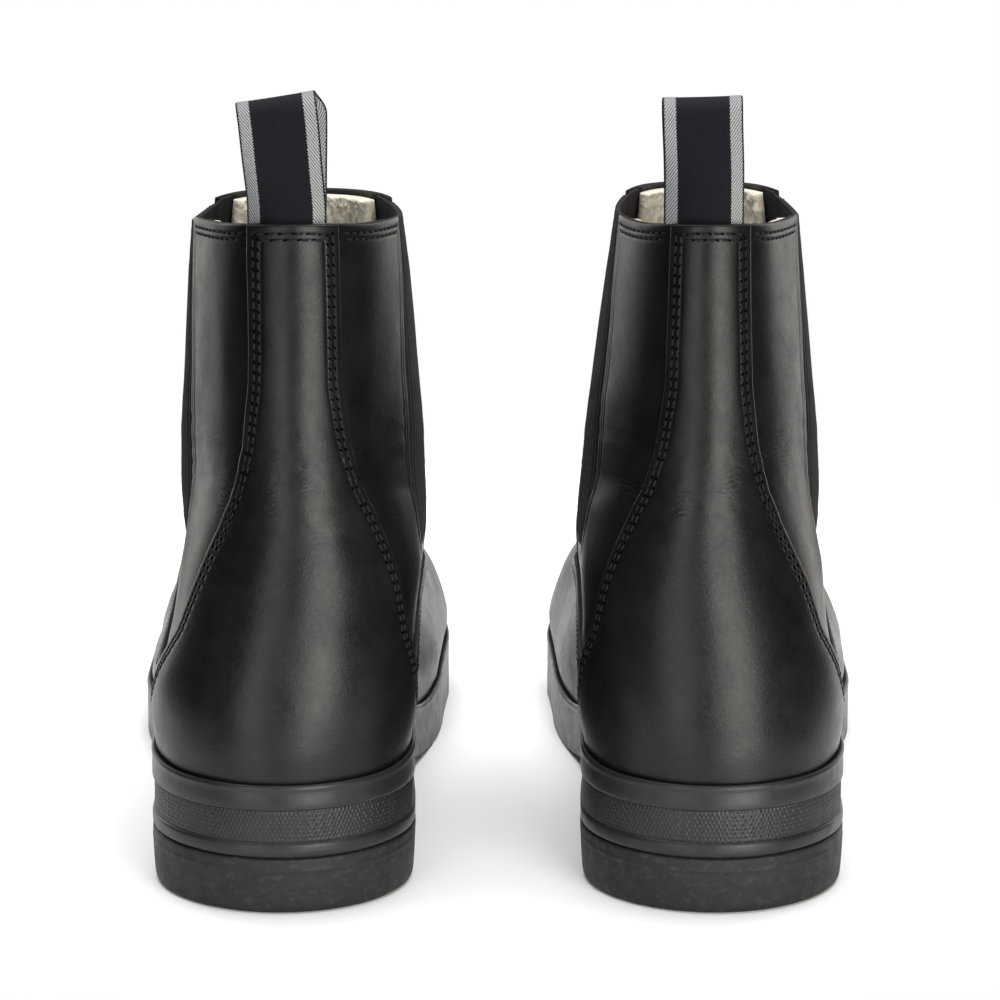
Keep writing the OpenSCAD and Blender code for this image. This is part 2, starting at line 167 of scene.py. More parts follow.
def last_point(t, v):
    """Point of the last at angle t (0 rear, 90 outer side, 180 toe, 270 inner side) and height v."""
    t, v = np.broadcast_arrays(np.asarray(t, float), np.asarray(v, float))
    k = np.clip(np.floor(v).astype(int), 0, TOP - 1)
    p1, p2 = ring_point(k, t), ring_point(k + 1, t)
    p0 = np.where((k > 0)[..., None], ring_point(np.maximum(k - 1, 0), t), 2 * p1 - p2)
    p3 = np.where((k + 2 <= TOP)[..., None], ring_point(np.minimum(k + 2, TOP), t), 2 * p2 - p1)
    return smooth_through(p0, p1, p2, p3, (v - k)[..., None])


def unit(p):
    return p / np.maximum(np.linalg.norm(p, axis=-1, keepdims=True), 1e-9)


def last_normal(t, v):
    t, v = np.broadcast_arrays(np.asarray(t, float), np.asarray(v, float))
    dt = last_point(t + 1.5, v) - last_point(t - 1.5, v)
    dv = last_point(t, np.minimum(TOP, v + 0.06)) - last_point(t, np.maximum(0, v - 0.06))
    return unit(np.cross(dt, dv))


def end_y(column, v):
    """The rear (column 0) or toe (column 1) end of the last at height v."""
    k = np.clip(np.floor(v).astype(int), 0, TOP - 1)
    p1, p2 = RINGS[k, column], RINGS[k + 1, column]
    p0 = np.where(k > 0, RINGS[np.maximum(k - 1, 0), column], 2 * p1 - p2)
    p3 = np.where(k + 2 <= TOP, RINGS[np.minimum(k + 2, TOP), column], 2 * p2 - p1)
    return smooth_through(p0, p1, p2, p3, v - k)


def angle_at(y, v):
    """Angle of the point of the outer side at y and height v."""
    v = np.asarray(v, float)
    rear, front = end_y(0, v), end_y(1, v)
    return np.degrees(np.arccos(1 - 2 * np.clip((y - rear) / (front - rear), 0, 1)))


def strap_edge_y(v):
    return end_y(0, v) + np.interp(v, np.arange(TOP + 1), STRAP_REACH)


def strap_angle(v):
    v = np.asarray(v, float)
    return angle_at(strap_edge_y(v), v)


def folded(c):
    """The outer side's column that mirrors column c."""
    return np.where(np.abs(c) <= HALF, np.abs(c), 2 * HALF - np.abs(c))


def column_angle(c, v):
    """Angle of design column c: 0 rear centre, 4 strap edge, 7 and 10 gusset edges, 17 front centre,
    and on to 34 back round the inner side. Negative columns are on the inner side."""
    c, v = np.broadcast_arrays(np.asarray(c, float), np.asarray(v, float))
    f = folded(c)
    a, b, d = strap_angle(v), angle_at(GUSSET_REAR_Y, v), angle_at(GUSSET_FRONT_Y, v)
    t = np.where(f <= COLS[1], mix(0, a, f / COLS[1]),
                 np.where(f <= COLS[2], mix(a, b, (f - COLS[1]) / 3),
                          np.where(f <= COLS[3], mix(b, d, (f - COLS[2]) / 3),
                                   mix(d, 180, (f - COLS[3]) / 7))))
    return np.where((c < 0) | (c > HALF), 360 - t, t)


def column_points(c, v):
    """(t, v) pairs on design columns c at heights v."""
    return np.stack(np.broadcast_arrays(column_angle(c, v), v), -1)


def vamp_line(c):
    """Height of the vamp's upper edge at column c."""
    forward = np.clip((folded(c) - COLS[1]) / (HALF - COLS[1]), 0, 1)
    return mix(VAMP_REAR_V, VAMP_THROAT_V, forward ** 1.15)


def flex_line(c):
    """Height at column c where the front of the shaft begins to lean."""
    s = np.clip((folded(c) - COLS[3]) / (HALF - COLS[3]), 0, 1)
    return mix(GUSSET_FOOT_V, FLEX_FRONT_V, 1 - (1 - s) ** 2)


# ---------------------------------------------------------------- small surface variations

WRINKLE_Z, WRINKLE_SPREAD, WRINKLE_PITCH = 124, 17, 6.5


def ripple(p, wavelength, seed, waves=7):
    """A smooth irregular field of about unit size, from a few seeded waves."""
    rng = np.random.RandomState(seed)
    k = unit(rng.normal(size=(waves, 3))) * (2 * math.pi / wavelength * rng.uniform(0.7, 1.4, (waves, 1)))
    phase = rng.uniform(0, 2 * math.pi, waves)
    return np.sin(p @ k.T + phase).sum(-1) / math.sqrt(waves)


def ankle_creases(p, seed):
    """Shallow wrinkles across the back of the ankle and the instep, where the boot has flexed."""
    centre = WRINKLE_Z + 0.15 * (p[..., 1] + 60)
    zone = np.exp(-((p[..., 2] - centre) / WRINKLE_SPREAD) ** 2)
    phase = p[..., 2] / WRINKLE_PITCH * math.pi + 1.3 * ripple(p, 34, seed)
    return -zone * (0.34 * (1 - np.abs(np.sin(phase))) ** 3 - 0.10)


def leather_relief(p, seed):
    return 0.14 * ripple(p, 46, seed) + 0.05 * ripple(p, 17, seed + 1) + ankle_creases(p, seed + 2)


# ---------------------------------------------------------------- meshes

# How each boot's worn-in shaft stands, by height: its widening against the last, its sideways
# lean, and how far its front lies towards the other boot
STANCE_Z = (60, 88, 115, 143, 170, 190)
WIDENING = {"left": (0, 0, -0.03, -0.02, 0.018, 0.045),
            "right": (0, 0, -0.065, -0.09, -0.1, -0.095)}
LEAN = {"left": (0, -1.2, -1.5, -1.6, -1.6, -1.6), "right": (0, 0.7, 0.6, 0.5, 0.5, 0.4)}
FRONT_SHIFT = {"left": (0, 0, 0, -0.6, -1.9, -2.8), "right": (0, 0, 0, -0.4, -1.3, -1.9)}
FRONT_SINK = {"left": 2.6, "right": 0.6}
SHAFT_X = -1.8
SHIFT_Y, SINK_Y, SINK_Z = (-95, -30), (-100, -45), (120, 185)
# The same for the forefoot alone, behind the toe puff
FOREFOOT_Z = (18, 27, 40, 47, 54, 74, 88)
FOREFOOT_WIDENING = {"left": (0, -0.022, -0.058, -0.05, -0.018, -0.01, 0),
                     "right": (0, -0.03, -0.012, -0.024, -0.018, -0.01, 0)}
FOREFOOT_LEAN = {"left": (0, -1.1, -1.6, -1.1, -0.9, -0.7, 0), "right": (0, 0, 1.3, 1.6, 1.4, 1.0, 0)}
FOREFOOT_FROM, FOREFOOT_TO = (-30, 5), (66, 92)


def placed(points, side):
    """Points of a boot's own frame, in millimetres, in the row frame in metres."""
    p = np.array(points, float)
    wider, lean, front = (np.interp(p[:, 2], STANCE_Z, row[side])
                          for row in (WIDENING, LEAN, FRONT_SHIFT))
    fore_wider, fore_lean = (np.interp(p[:, 2], FOREFOOT_Z, row[side])
                             for row in (FOREFOOT_WIDENING, FOREFOOT_LEAN))
    forefoot = ease(*FOREFOOT_FROM, p[:, 1]) * (1 - ease(*FOREFOOT_TO, p[:, 1]))
    moved = wider * (p[:, 0] - SHAFT_X) + lean + front * ease(*SHIFT_Y, p[:, 1])
    p[:, 0] += moved + forefoot * (fore_wider * (p[:, 0] - SHAFT_X) + fore_lean)
    p[:, 2] -= FRONT_SINK[side] * ease(*SINK_Y, p[:, 1]) * ease(*SINK_Z, p[:, 2])
    p[:, 0] = SIDES[side] * (p[:, 0] + BOOT_X)
    return p * MM


def add_piece(name, points, faces, side, materials, face_material=None, crease=50, uv=None):
    """A mesh object of one boot. Faces are given for the right boot, and turned round for the left."""
    mesh = bpy.data.meshes.new(name)
    turn = SIDES[side]
    mesh.from_pydata(placed(points, side).tolist(), [], [tuple(f[::turn]) for f in faces])
    for m in materials:
        mesh.materials.append(m)
    if face_material is not None:
        mesh.polygons.foreach_set("material_index", np.asarray(face_material, np.int32))
    if uv is not None:
        layer = mesh.uv_layers.new(name="UVMap")
        corner = np.zeros(len(mesh.loops), np.int32)
        mesh.loops.foreach_get("vertex_index", corner)
        layer.data.foreach_set("uv", np.asarray(uv, float)[corner].ravel())
    mesh.shade_smooth()
    mesh.set_sharp_from_angle(angle=math.radians(crease))
    mesh.validate()
    obj = bpy.data.objects.new(f"{side}_{name}", mesh)
    bpy.context.scene.collection.objects.link(obj)
    return obj


def arc_length(points):
    """Distance along a line of points, at each of them."""
    return np.concatenate([[0], np.cumsum(np.linalg.norm(np.diff(points, axis=0), axis=-1))])


def read_off(at, arc, points):
    """Points of a line at these lengths along it."""
    return np.stack([np.interp(at, arc, axis) for axis in points.T], -1)


def grid_quads(rows, cols, wrap=False, start=0):
    i, j = np.meshgrid(np.arange(rows - 1), np.arange(cols if wrap else cols - 1), indexing="ij")
    a, b = i * cols + j, i * cols + (j + 1) % cols
    return np.stack([a, b, b + cols, a + cols], -1).reshape(-1, 4) + start


def closed_faces(rows, cols):
    """Faces of a closed solid between two grids of points, the first of them facing outward."""
    quads, n = grid_quads(rows, cols), rows * cols
    ring = (list(range(cols)) + [i * cols + cols - 1 for i in range(1, rows)]
            + [(rows - 1) * cols + i for i in range(cols - 2, -1, -1)]
            + [i * cols for i in range(rows - 2, 0, -1)])
    walls = [[b, a, a + n, b + n] for a, b in zip(ring, ring[1:] + ring[:1])]
    return quads.tolist() + (quads[:, ::-1] + n).tolist() + walls


class Sheet:
    """A patch of the last's surface made of one or more grids of (t, v), welded where they meet."""

    def __init__(self, *grids):
        tv = np.concatenate([np.asarray(g, float).reshape(-1, 2) for g in grids])
        p, n = last_point(*tv.T), last_normal(*tv.T)
        _, first, index = np.unique(np.round(p, 3), axis=0, return_index=True, return_inverse=True)
        index = np.asarray(index).ravel()
        self.t, self.v, self.p, self.n = tv[first, 0], tv[first, 1], p[first], n[first]
        quads, start = [], 0
        for g in grids:
            rows, cols = np.shape(g)[:2]
            q = index[grid_quads(rows, cols, start=start)]
            start += rows * cols
            a, b, d = (self.p[q[:, i]] for i in (0, 1, 3))
            if (np.cross(b - a, d - a) * self.n[q[:, 0]]).sum() < 0:
                q = q[:, ::-1]
            quads += [list(dict.fromkeys(f)) for f in q.tolist()]
        self.faces = [f for f in quads if len(f) > 2]

    def border(self):
        """The outline's directed edges."""
        edges = {(f[i], f[(i + 1) % len(f)]) for f in self.faces for i in range(len(f))}
        return [(a, b) for a, b in edges if (b, a) not in edges]

    def solid(self, depth_in, depth_out):
        """Closed sheet between two depths: points, faces and each face's material, 1 on the cut edges."""
        count = len(self.p)
        z_min = sole_top(self.p[:, 1]) + FEATHER_GAP
        layers = [self.p + self.n * np.broadcast_to(d, count)[:, None] for d in (depth_out, depth_in)]
        for layer in layers:
            layer[:, 2] = np.maximum(layer[:, 2], z_min)
        faces = self.faces + [[i + count for i in f[::-1]] for f in self.faces]
        flat = len(faces)
        faces += [[b, a, a + count, b + count] for a, b in self.border()]
        return np.concatenate(layers), faces, [0] * flat + [1] * (len(faces) - flat)


def polyline(t, v):
    """An edge of a panel: its (t, v) pairs and points."""
    t, v = np.broadcast_arrays(np.asarray(t, float), np.asarray(v, float))
    return {"tv": np.stack([t, v], -1), "p": last_point(t, v)}


def distance_to(points, *lines):
    """Distance of each point from the nearest of the lines."""
    best = np.full(len(points), np.inf)
    for line in lines:
        a, b = line["p"][:-1], line["p"][1:]
        ab = b - a
        length2 = np.maximum((ab ** 2).sum(-1), 1e-12)
        for start in range(0, len(points), 4000):
            part = points[start:start + 4000, None]
            s = np.clip(((part - a) * ab).sum(-1) / length2, 0, 1)
            d = np.linalg.norm(part - (a + s[..., None] * ab), axis=-1).min(1)
            best[start:start + 4000] = np.minimum(best[start:start + 4000], d)
    return best


# Distances from a cut edge where the grids have lines, close enough for its rounding and stitches
EDGE_STEPS = np.array([0, 0.06, 0.18, 0.36, 0.6, 0.95, 1.4, 1.9, 2.2, 2.5, 2.8, 3.15, 3.55, 3.9,
                       4.2, 4.5, 4.85, 5.4, 6.2, 7.4, 9.0])
STITCH_ROWS = (2.5, 4.2)
STITCH_PITCH = 2.9
MM_PER_RING_AT_TOP, MM_PER_RING_AT_VAMP = 21.5, 12.5
TOP_ROWS = TOP - EDGE_STEPS / MM_PER_RING_AT_TOP


def cut_edge(d, drop=0.55, radius=0.8):
    """How far the outer face lies lower beside a cut edge, rounded and slightly pared down."""
    rounding = 1 - np.sqrt(1 - (1 - np.clip(d / radius, 0, 1)) ** 2)
    return drop * rounding + 0.22 * np.exp(-d / 1.8)


def stitch_grooves(d, depth=0.24):
    return depth * sum(np.exp(-((d - r) / 0.42) ** 2) for r in STITCH_ROWS)


def along_edge(length, count, steps=EDGE_STEPS):
    """Positions 0 to 1 across a panel of this width: fine steps first, then count even ones."""
    near = steps / np.maximum(length, 1e-6)
    if length < steps[-1] * 1.15:
        near = np.minimum(near, 0.9 * np.arange(len(steps)) / len(steps) + 0.02)
        near = np.minimum(near, np.linspace(0, 0.85, len(steps)))
        near[0] = 0
    return np.concatenate([near, near[-1] + (1 - near[-1]) * np.arange(1, count + 1) / count])


# ---------------------------------------------------------------- design lines

def gusset_outline(count=40):
    """The U-shaped opening on the outer side, from the top of its rear edge to the top of its front."""
    bend_v = OPENING_FOOT_V + OPENING_RISE
    down = np.concatenate([TOP_ROWS, np.linspace(TOP_ROWS[-1], bend_v, count)[1:]])
    a = np.linspace(0, math.pi / 2, 16)[1:]
    y = np.concatenate([np.full(len(down), GUSSET_REAR_Y),
                        GUSSET_REAR_Y + OPENING_REACH * (1 - np.cos(a))])
    v = np.concatenate([down, bend_v - OPENING_RISE * np.sin(a)])
    front_y = GUSSET_FRONT_Y + GUSSET_REAR_Y - y[::-1]
    return np.concatenate([y, front_y]), np.concatenate([v, v[::-1]])


def outline_split():
    """Index of the outline's point, low on its front half, where the front panel begins."""
    y, v = gusset_outline()
    elsewhere = 10 * (v > 6) + 10 * (np.arange(len(y)) < len(y) / 2)
    return int(np.argmin(np.abs(y - (GUSSET_FRONT_Y - SPLIT_BACK)) + elsewhere))


def inner(grid):
    """The same grid on the inner side."""
    g = np.array(grid, float)
    g[..., 0] = 360 - g[..., 0]
    return g


def rays(a_tv, b_tv, count):
    """A grid of rays from one edge's points to another's, with fine steps beside the first."""
    a_p, b_p = last_point(*a_tv.T), last_point(*b_tv.T)
    length = np.linalg.norm(b_p - a_p, axis=-1)
    s = np.stack([along_edge(l, count) for l in length])
    return a_tv[:, None] + (b_tv - a_tv)[:, None] * s[..., None]


def resampled(points, share):
    """Points at these shares of a polyline's length."""
    step = np.linalg.norm(np.diff(points * [1, 12], axis=0), axis=-1)
    along = np.concatenate([[0], np.cumsum(step)]) / step.sum()
    return read_off(share, along, points)


STRAP_EDGE_V = np.linspace(0, TOP, 241)
OUTER_STRAP_EDGE = polyline(strap_angle(STRAP_EDGE_V), STRAP_EDGE_V)
INNER_STRAP_EDGE = polyline(360 - strap_angle(STRAP_EDGE_V), STRAP_EDGE_V)
TOP_EDGE = polyline(np.linspace(-180, 180, 361), TOP)
VAMP_C = np.linspace(COLS[1] - 0.2, 2 * HALF - COLS[1] + 0.2, 361)
VAMP_EDGE = polyline(column_angle(VAMP_C, vamp_line(VAMP_C)), vamp_line(VAMP_C))
OPENING_Y, OPENING_V = gusset_outline()
OPENING_TV = np.stack([angle_at(OPENING_Y, OPENING_V), OPENING_V], -1)
OPENING_SPLIT = outline_split()
OUTER_GUSSET_EDGE = polyline(*OPENING_TV.T)
INNER_GUSSET_EDGE = polyline(*inner(OPENING_TV).T)


# ---------------------------------------------------------------- leather panels

# Depths of the panels' outer faces over the last, and how far a panel runs on hidden under another
STRAP_OUT, SHAFT_OUT, PANEL_IN = 3.3, 1.6, 1.7
STRAP_ROW_STEP = 0.11
HIDDEN_STRAP_SHARE, HIDDEN_VAMP_LAP = 0.86, 0.45


def leather_face(height, d, s, seed, stitched=1):
    """A panel's outer face at this height, with its cut edge, stitch grooves and relief."""
    return height - cut_edge(d) - stitch_grooves(d) * stitched + leather_relief(s.p, seed)


def strap_sheet():
    v = np.concatenate([TOP_ROWS, np.arange(TOP_ROWS[-1] - STRAP_ROW_STEP, 0, -STRAP_ROW_STEP), [0]])
    rows = []
    for row_v in v:
        t = np.linspace(0, float(strap_angle(row_v)), 81)
        arc = arc_length(last_point(t, row_v))
        across = along_edge(arc[-1], 15, np.concatenate([EDGE_STEPS, [10, 11]]))
        outer = np.interp(arc[-1] * (1 - across), arc, t)
        rows.append(np.concatenate([outer, -outer[-2::-1]]))
    t = np.stack(rows)
    return Sheet(np.stack([t, np.broadcast_to(v[:, None], t.shape)], -1))


def strap_depths(s, seed):
    d = distance_to(s.p, OUTER_STRAP_EDGE, INNER_STRAP_EDGE, TOP_EDGE)
    over_vamp = 1 - ease(2.2, 3.0, s.v)
    height = STRAP_OUT + 0.35 * over_vamp * np.exp(-d / 12)
    return mix(PANEL_IN, 2.15, over_vamp), leather_face(height, d, s, seed)


def vamp_sheet():
    ends = np.concatenate([np.linspace(3, 5.2, 23), np.linspace(5.4, 8, 14)])
    c = np.concatenate([ends, np.linspace(8.25, 25.75, 71), 2 * HALF - ends[::-1]])
    down = EDGE_STEPS / MM_PER_RING_AT_VAMP
    line = vamp_line(c)
    low = np.linspace(0, 1, 30)[1:]
    v = np.concatenate([line[None] - down[:, None], mix(line - down[-1], 0, low[:, None])])
    return Sheet(column_points(c, v))


def vamp_depths(s, seed):
    """The vamp lies lower where it runs on under the counter."""
    d = distance_to(s.p, VAMP_EDGE)
    strap = distance_to(s.p, OUTER_STRAP_EDGE, INNER_STRAP_EDGE)
    strap = np.where(s.p[:, 1] < strap_edge_y(np.clip(s.v, 0, TOP)), -strap, strap)
    under = 1 - ease(-0.5, 6, strap)
    toe = ease(30, 110, s.p[:, 1])
    out = leather_face(STRAP_OUT - 1.2 * under, d, s, seed, ease(0, 3, strap))
    return np.full(len(s.p), PANEL_IN), out + 0.1 * toe


def hidden_strap(v):
    """(t, v) pairs under the strap."""
    return np.stack([strap_angle(v) * HIDDEN_STRAP_SHARE, v], -1)


def hidden_vamp(c):
    """(t, v) pairs under the vamp's upper edge."""
    return column_points(c, vamp_line(c) - HIDDEN_VAMP_LAP)


def quarter_grid():
    """From the opening's rear edge and foot to lines hidden under the strap and the vamp."""
    edge = OPENING_TV[:OPENING_SPLIT + 1]
    level = edge[:, 1] > 6.6
    level[len(edge) // 2 + 10:] = False
    side = hidden_strap(edge[level, 1])
    low = hidden_vamp(np.linspace(3.4, COLS[3], 40))
    strap_down = hidden_strap(np.linspace(side[-1, 1], float(low[0, 1]) + 0.3, 30))
    count = int((~level).sum())
    path = resampled(np.concatenate([strap_down, low]), np.arange(1, count + 1) / count)
    return rays(edge, np.concatenate([side, path]), 14)


def front_grids():
    """From the openings' front edges to the front centre and a line hidden under the vamp."""
    edge = OPENING_TV[OPENING_SPLIT:]
    low = hidden_vamp(np.linspace(COLS[3], HALF, 60))
    level = edge[:, 1] > 7.2
    count = int((~level).sum())
    path = resampled(np.concatenate([low, [[180, FLEX_FRONT_V]]]), np.linspace(0, 1, count))
    centre = np.stack([np.full(len(edge) - count, 180.0), edge[level, 1]], -1)
    grid = rays(edge, np.concatenate([path, centre]), 26)
    return grid, inner(grid)


def shaft_depths(s, seed, edges, thick=1):
    """Depths of a panel of the shaft, turned in along the top edge and single beside the gussets."""
    edge, top = distance_to(s.p, *edges), distance_to(s.p, TOP_EDGE)
    turned = (1 - ease(4, 9, top)) * ease(6.5, 8, edge) * thick
    return 0.1 - 1.1 * turned, leather_face(SHAFT_OUT, np.minimum(edge, top), s, seed)


def quarter_depths(s, gusset_edge, seed):
    """The quarter is not turned in behind the pull loop, and lies flat under the strap."""
    depth_in, out = shaft_depths(s, seed, [gusset_edge], ease(12.2, 13.2, np.abs(s.p[:, 0] - LOOP_X)))
    strap = ease(0, 3, distance_to(s.p, OUTER_STRAP_EDGE, INNER_STRAP_EDGE))
    under_strap = np.abs(np.mod(s.t + 180, 360) - 180) < strap_angle(np.clip(s.v, 0, TOP))
    out = np.where(under_strap, np.minimum(out, SHAFT_OUT), out)
    return depth_in, out - 0.06 * (1 - strap)


# ---------------------------------------------------------------- stitches

# A stitch's thread: distance along the row, height and radius; and the flat dark patch at its end, painted
# shade where the awl pierced the leather
STITCH_PROFILE = np.array([[-1.1, -0.4, 0.14], [-0.95, -0.14, 0.24], [-0.55, 0.03, 0.31], [0, 0.07, 0.33],
                           [0.55, 0.03, 0.31], [0.95, -0.14, 0.24], [1.1, -0.4, 0.14]])
HOLE_LENGTH, HOLE_WIDTH, HOLE_SLANT, HOLE_LIFT = 0.62, 0.36, 0.5, 0.06
HOLE_POINTS = 10
STITCH_SEGMENTS = 7


def stitch_row(line, inset, direction, tree, keep_off, phase):
    """Centres, tangents and normals of a row of stitches beside an edge, on the panel's outer face."""
    n = last_normal(*line["tv"].T)
    row = line["p"] + direction * inset * np.cross(n, unit(np.gradient(line["p"], axis=0)))
    arc = arc_length(row)
    at = np.arange((0.5 + phase) * STITCH_PITCH, arc[-1], STITCH_PITCH)
    centre, normal = read_off(at, arc, row), read_off(at, arc, n)
    ahead = read_off(at + 0.8, arc, row) - read_off(at - 0.8, arc, row)
    ok = np.ones(len(at), bool)
    for other in keep_off:
        ok &= distance_to(centre, other) > inset - 0.25
    found = []
    for c, a, nn in zip(centre[ok], unit(ahead[ok]), normal[ok]):
        hit = tree.ray_cast(Vector(c + 7 * nn), Vector(-nn), 9)
        if hit[0] is not None:
            found.append((np.array(hit[0]), a, np.array(hit[1])))
    return found


def sew(tree, *edges):
    """Both rows of stitches beside each edge, given as line, direction and the lines it keeps off."""
    return [stitch for i, inset in enumerate(STITCH_ROWS) for line, direction, keep_off in edges
            for stitch in stitch_row(line, inset, direction, tree, keep_off, 0.5 * i)]


def circle(count):
    return np.arange(count) * 2 * math.pi / count


def add_stitches(name, side, stitches, materials):
    """One mesh of all these stitches, with a flat dark patch painted as shade where each pierces the leather.
    """
    c, a, n = (np.array([s[i] for s in stitches]) for i in range(3))
    n = unit(n - (n * a).sum(-1, keepdims=True) * a)
    b = np.cross(a, n)
    phi = circle(STITCH_SEGMENTS)
    rings = len(STITCH_PROFILE)
    size = rings * STITCH_SEGMENTS
    s, h, r = (STITCH_PROFILE[:, i][:, None] for i in range(3))
    s = np.broadcast_to(s, (rings, STITCH_SEGMENTS))
    points = (c[:, None, None] + a[:, None, None] * s[None, ..., None]
              + n[:, None, None] * (h + r * np.sin(phi))[None, ..., None]
              + b[:, None, None] * (r * np.cos(phi))[None, ..., None])
    one = grid_quads(rings, STITCH_SEGMENTS, wrap=True).tolist()
    one += [list(range(STITCH_SEGMENTS))[::-1], list(range(size - STITCH_SEGMENTS, size))]
    faces = [[i + k * size for i in f] for k in range(len(c)) for f in one]
    # Painted shade: a flat near-black ellipse lifted just above the leather at each stitch's end stands in
    # for the shade inside the awl's piercing
    phi = circle(HOLE_POINTS)
    long, wide = HOLE_LENGTH * np.cos(phi), HOLE_WIDTH * np.sin(phi)
    along = long * math.cos(HOLE_SLANT) - wide * math.sin(HOLE_SLANT)
    across = long * math.sin(HOLE_SLANT) + wide * math.cos(HOLE_SLANT)
    hole_shades = (c[:, None] + a[:, None] * (along + STITCH_PITCH / 2)[None, :, None]
             + b[:, None] * across[None, :, None] + n[:, None] * HOLE_LIFT)
    start = len(c) * size
    rim = [[start + k * HOLE_POINTS + i for i in range(HOLE_POINTS)] for k in range(len(c))]
    points = np.concatenate([points.reshape(-1, 3), hole_shades.reshape(-1, 3)])
    kinds = [0] * len(faces) + [1] * len(rim)
    return add_piece(name, points, faces + rim, side, materials, kinds, crease=70)


def outer_tree(sheet, points):
    return BVHTree.FromPolygons([Vector(p) for p in points[:len(sheet.p)]], sheet.faces)


# ---------------------------------------------------------------- materials

# Wavy creases across the back of the ankle: pitch, heights where they fade in and out, front limit
CREASE_PITCH, CREASE_FROM, CREASE_TO, CREASE_FRONT_Y = 1.5, (100, 108), (132, 124), -96
# The pull loop's webbing
WEB_WIDTH, WEB_STRIPE, WEB_SELVEDGE, WEB_LENGTH = 21.5, 3.1, 0.45, 104.0


class Shader:
    """A node material in short: textures in millimetres of the object, mixed into one surface."""

    def __init__(self, name, colour, roughness, specular=0.5, sheen=0.0):
        self.material = bpy.data.materials.new(name)
        self.material.use_nodes = True
        self.nodes, self.links = self.material.node_tree.nodes, self.material.node_tree.links
        self.surface = self.nodes["Principled BSDF"]
        self.surface.inputs["Base Color"].default_value = (*colour, 1)
        self.surface.inputs["Roughness"].default_value = roughness
        self.surface.inputs["Specular IOR Level"].default_value = specular
        self.surface.inputs["Sheen Weight"].default_value = sheen
        self.surface.inputs["Sheen Roughness"].default_value = 0.5
        self.material.diffuse_color = (*colour, 1)
        self.height = None

    def node(self, kind, **values):
        made = self.nodes.new(kind)
        for key, value in values.items():
            setattr(made, key, value)
        return made

    def link(self, a, b):
        self.links.new(a, b)
        return b.node

    def coordinates(self, stretch=(1, 1, 1)):
        """Object coordinates in millimetres, stretched along the axes."""
        source = self.node("ShaderNodeTexCoord").outputs["Object"]
        mapping = self.node("ShaderNodeMapping")
        mapping.inputs["Scale"].default_value = [1000 * s for s in stretch]
        self.link(source, mapping.inputs["Vector"])
        return mapping.outputs["Vector"]

    def noise(self, size, detail=3, stretch=(1, 1, 1), rough=0.55):
        """Noise with features about this many millimetres across."""
        tex = self.node("ShaderNodeTexNoise")
        tex.inputs["Scale"].default_value = 1 / size
        tex.inputs["Detail"].default_value = detail
        tex.inputs["Roughness"].default_value = rough
        self.link(self.coordinates(stretch), tex.inputs["Vector"])
        return tex.outputs["Fac"]

    def cells(self, size):
        """Distance to the nearest of scattered points this many millimetres apart."""
        tex = self.node("ShaderNodeTexVoronoi")
        tex.inputs["Scale"].default_value = 1 / size
        self.link(self.coordinates(), tex.inputs["Vector"])
        return tex.outputs["Distance"]

    def span(self, value, low, high, to_low=0.0, to_high=1.0):
        """Maps low..high to to_low..to_high and stops at both ends."""
        made = self.node("ShaderNodeMapRange")
        for key, v in (("From Min", low), ("From Max", high), ("To Min", to_low), ("To Max", to_high)):
            made.inputs[key].default_value = v
        self.link(value, made.inputs["Value"])
        return made.outputs["Result"]

    def maths(self, kind, a, b=None):
        made = self.node("ShaderNodeMath", operation=kind)
        for i, value in enumerate((a, b)):
            if isinstance(value, (int, float)):
                made.inputs[i].default_value = value
            elif value is not None:
                self.link(value, made.inputs[i])
        return made.outputs["Value"]

    def times(self, a, b):
        return self.maths("MULTIPLY", a, b)

    def plus(self, a, b):
        return self.maths("ADD", a, b)

    def colours(self, factor, low, high):
        """A mix of two colours or colour outputs."""
        made = self.node("ShaderNodeMix", data_type="RGBA")
        self.link(factor, made.inputs["Factor"])
        for key, value in ((6, low), (7, high)):
            if isinstance(value, tuple):
                made.inputs[key].default_value = (*value, 1)
            else:
                self.link(value, made.inputs[key])
        return made.outputs[2]

    def colour(self, output):
        self.link(output, self.surface.inputs["Base Color"])

    def rough(self, output):
        self.link(output, self.surface.inputs["Roughness"])

    def bump(self, output, height_mm):
        """Adds relief of this height to what is there already."""
        made = self.node("ShaderNodeBump")
        made.inputs["Strength"].default_value = 1
        made.inputs["Distance"].default_value = height_mm * MM
        self.link(output, made.inputs["Height"])
        if self.height is not None:
            self.link(self.height, made.inputs["Normal"])
        self.height = made.outputs["Normal"]
        self.link(self.height, self.surface.inputs["Normal"])


def leather_material():
    """Black leather with a waxy finish, a fine grain, and short creases across the back of the ankle."""
    s = Shader("black_leather", (0.005, 0.005, 0.0054), 0.36, specular=0.27)
    s.colour(s.colours(s.span(s.noise(14, 5), 0.35, 0.7),
                       (0.0034, 0.0034, 0.0039), (0.0072, 0.007, 0.0069)))
    s.rough(s.plus(s.span(s.noise(9, 4), 0.3, 0.7, 0.32, 0.41),
                   s.span(s.noise(1.6, 2), 0.3, 0.7, -0.03, 0.03)))
    s.bump(s.noise(2.4, 4, (1, 1, 1.9)), 0.05)
    s.bump(s.cells(0.55), 0.018)
    s.bump(s.noise(0.28, 2), 0.010)
    split = s.node("ShaderNodeSeparateXYZ")
    s.link(s.coordinates(), split.inputs[0])
    height = split.outputs["Z"]
    wavy = s.plus(s.times(height, 2 * math.pi / CREASE_PITCH), s.times(s.noise(5, 3), 15.0))
    band = s.times(s.span(height, *CREASE_FROM), s.span(height, *CREASE_TO))
    patch = s.times(band, s.span(s.noise(13, 1), 0.5, 0.62))
    rear = s.times(patch, s.span(split.outputs["Y"], CREASE_FRONT_Y, CREASE_FRONT_Y - 6))
    s.bump(s.times(rear, s.maths("SINE", wavy)), 0.035)
    return s.material


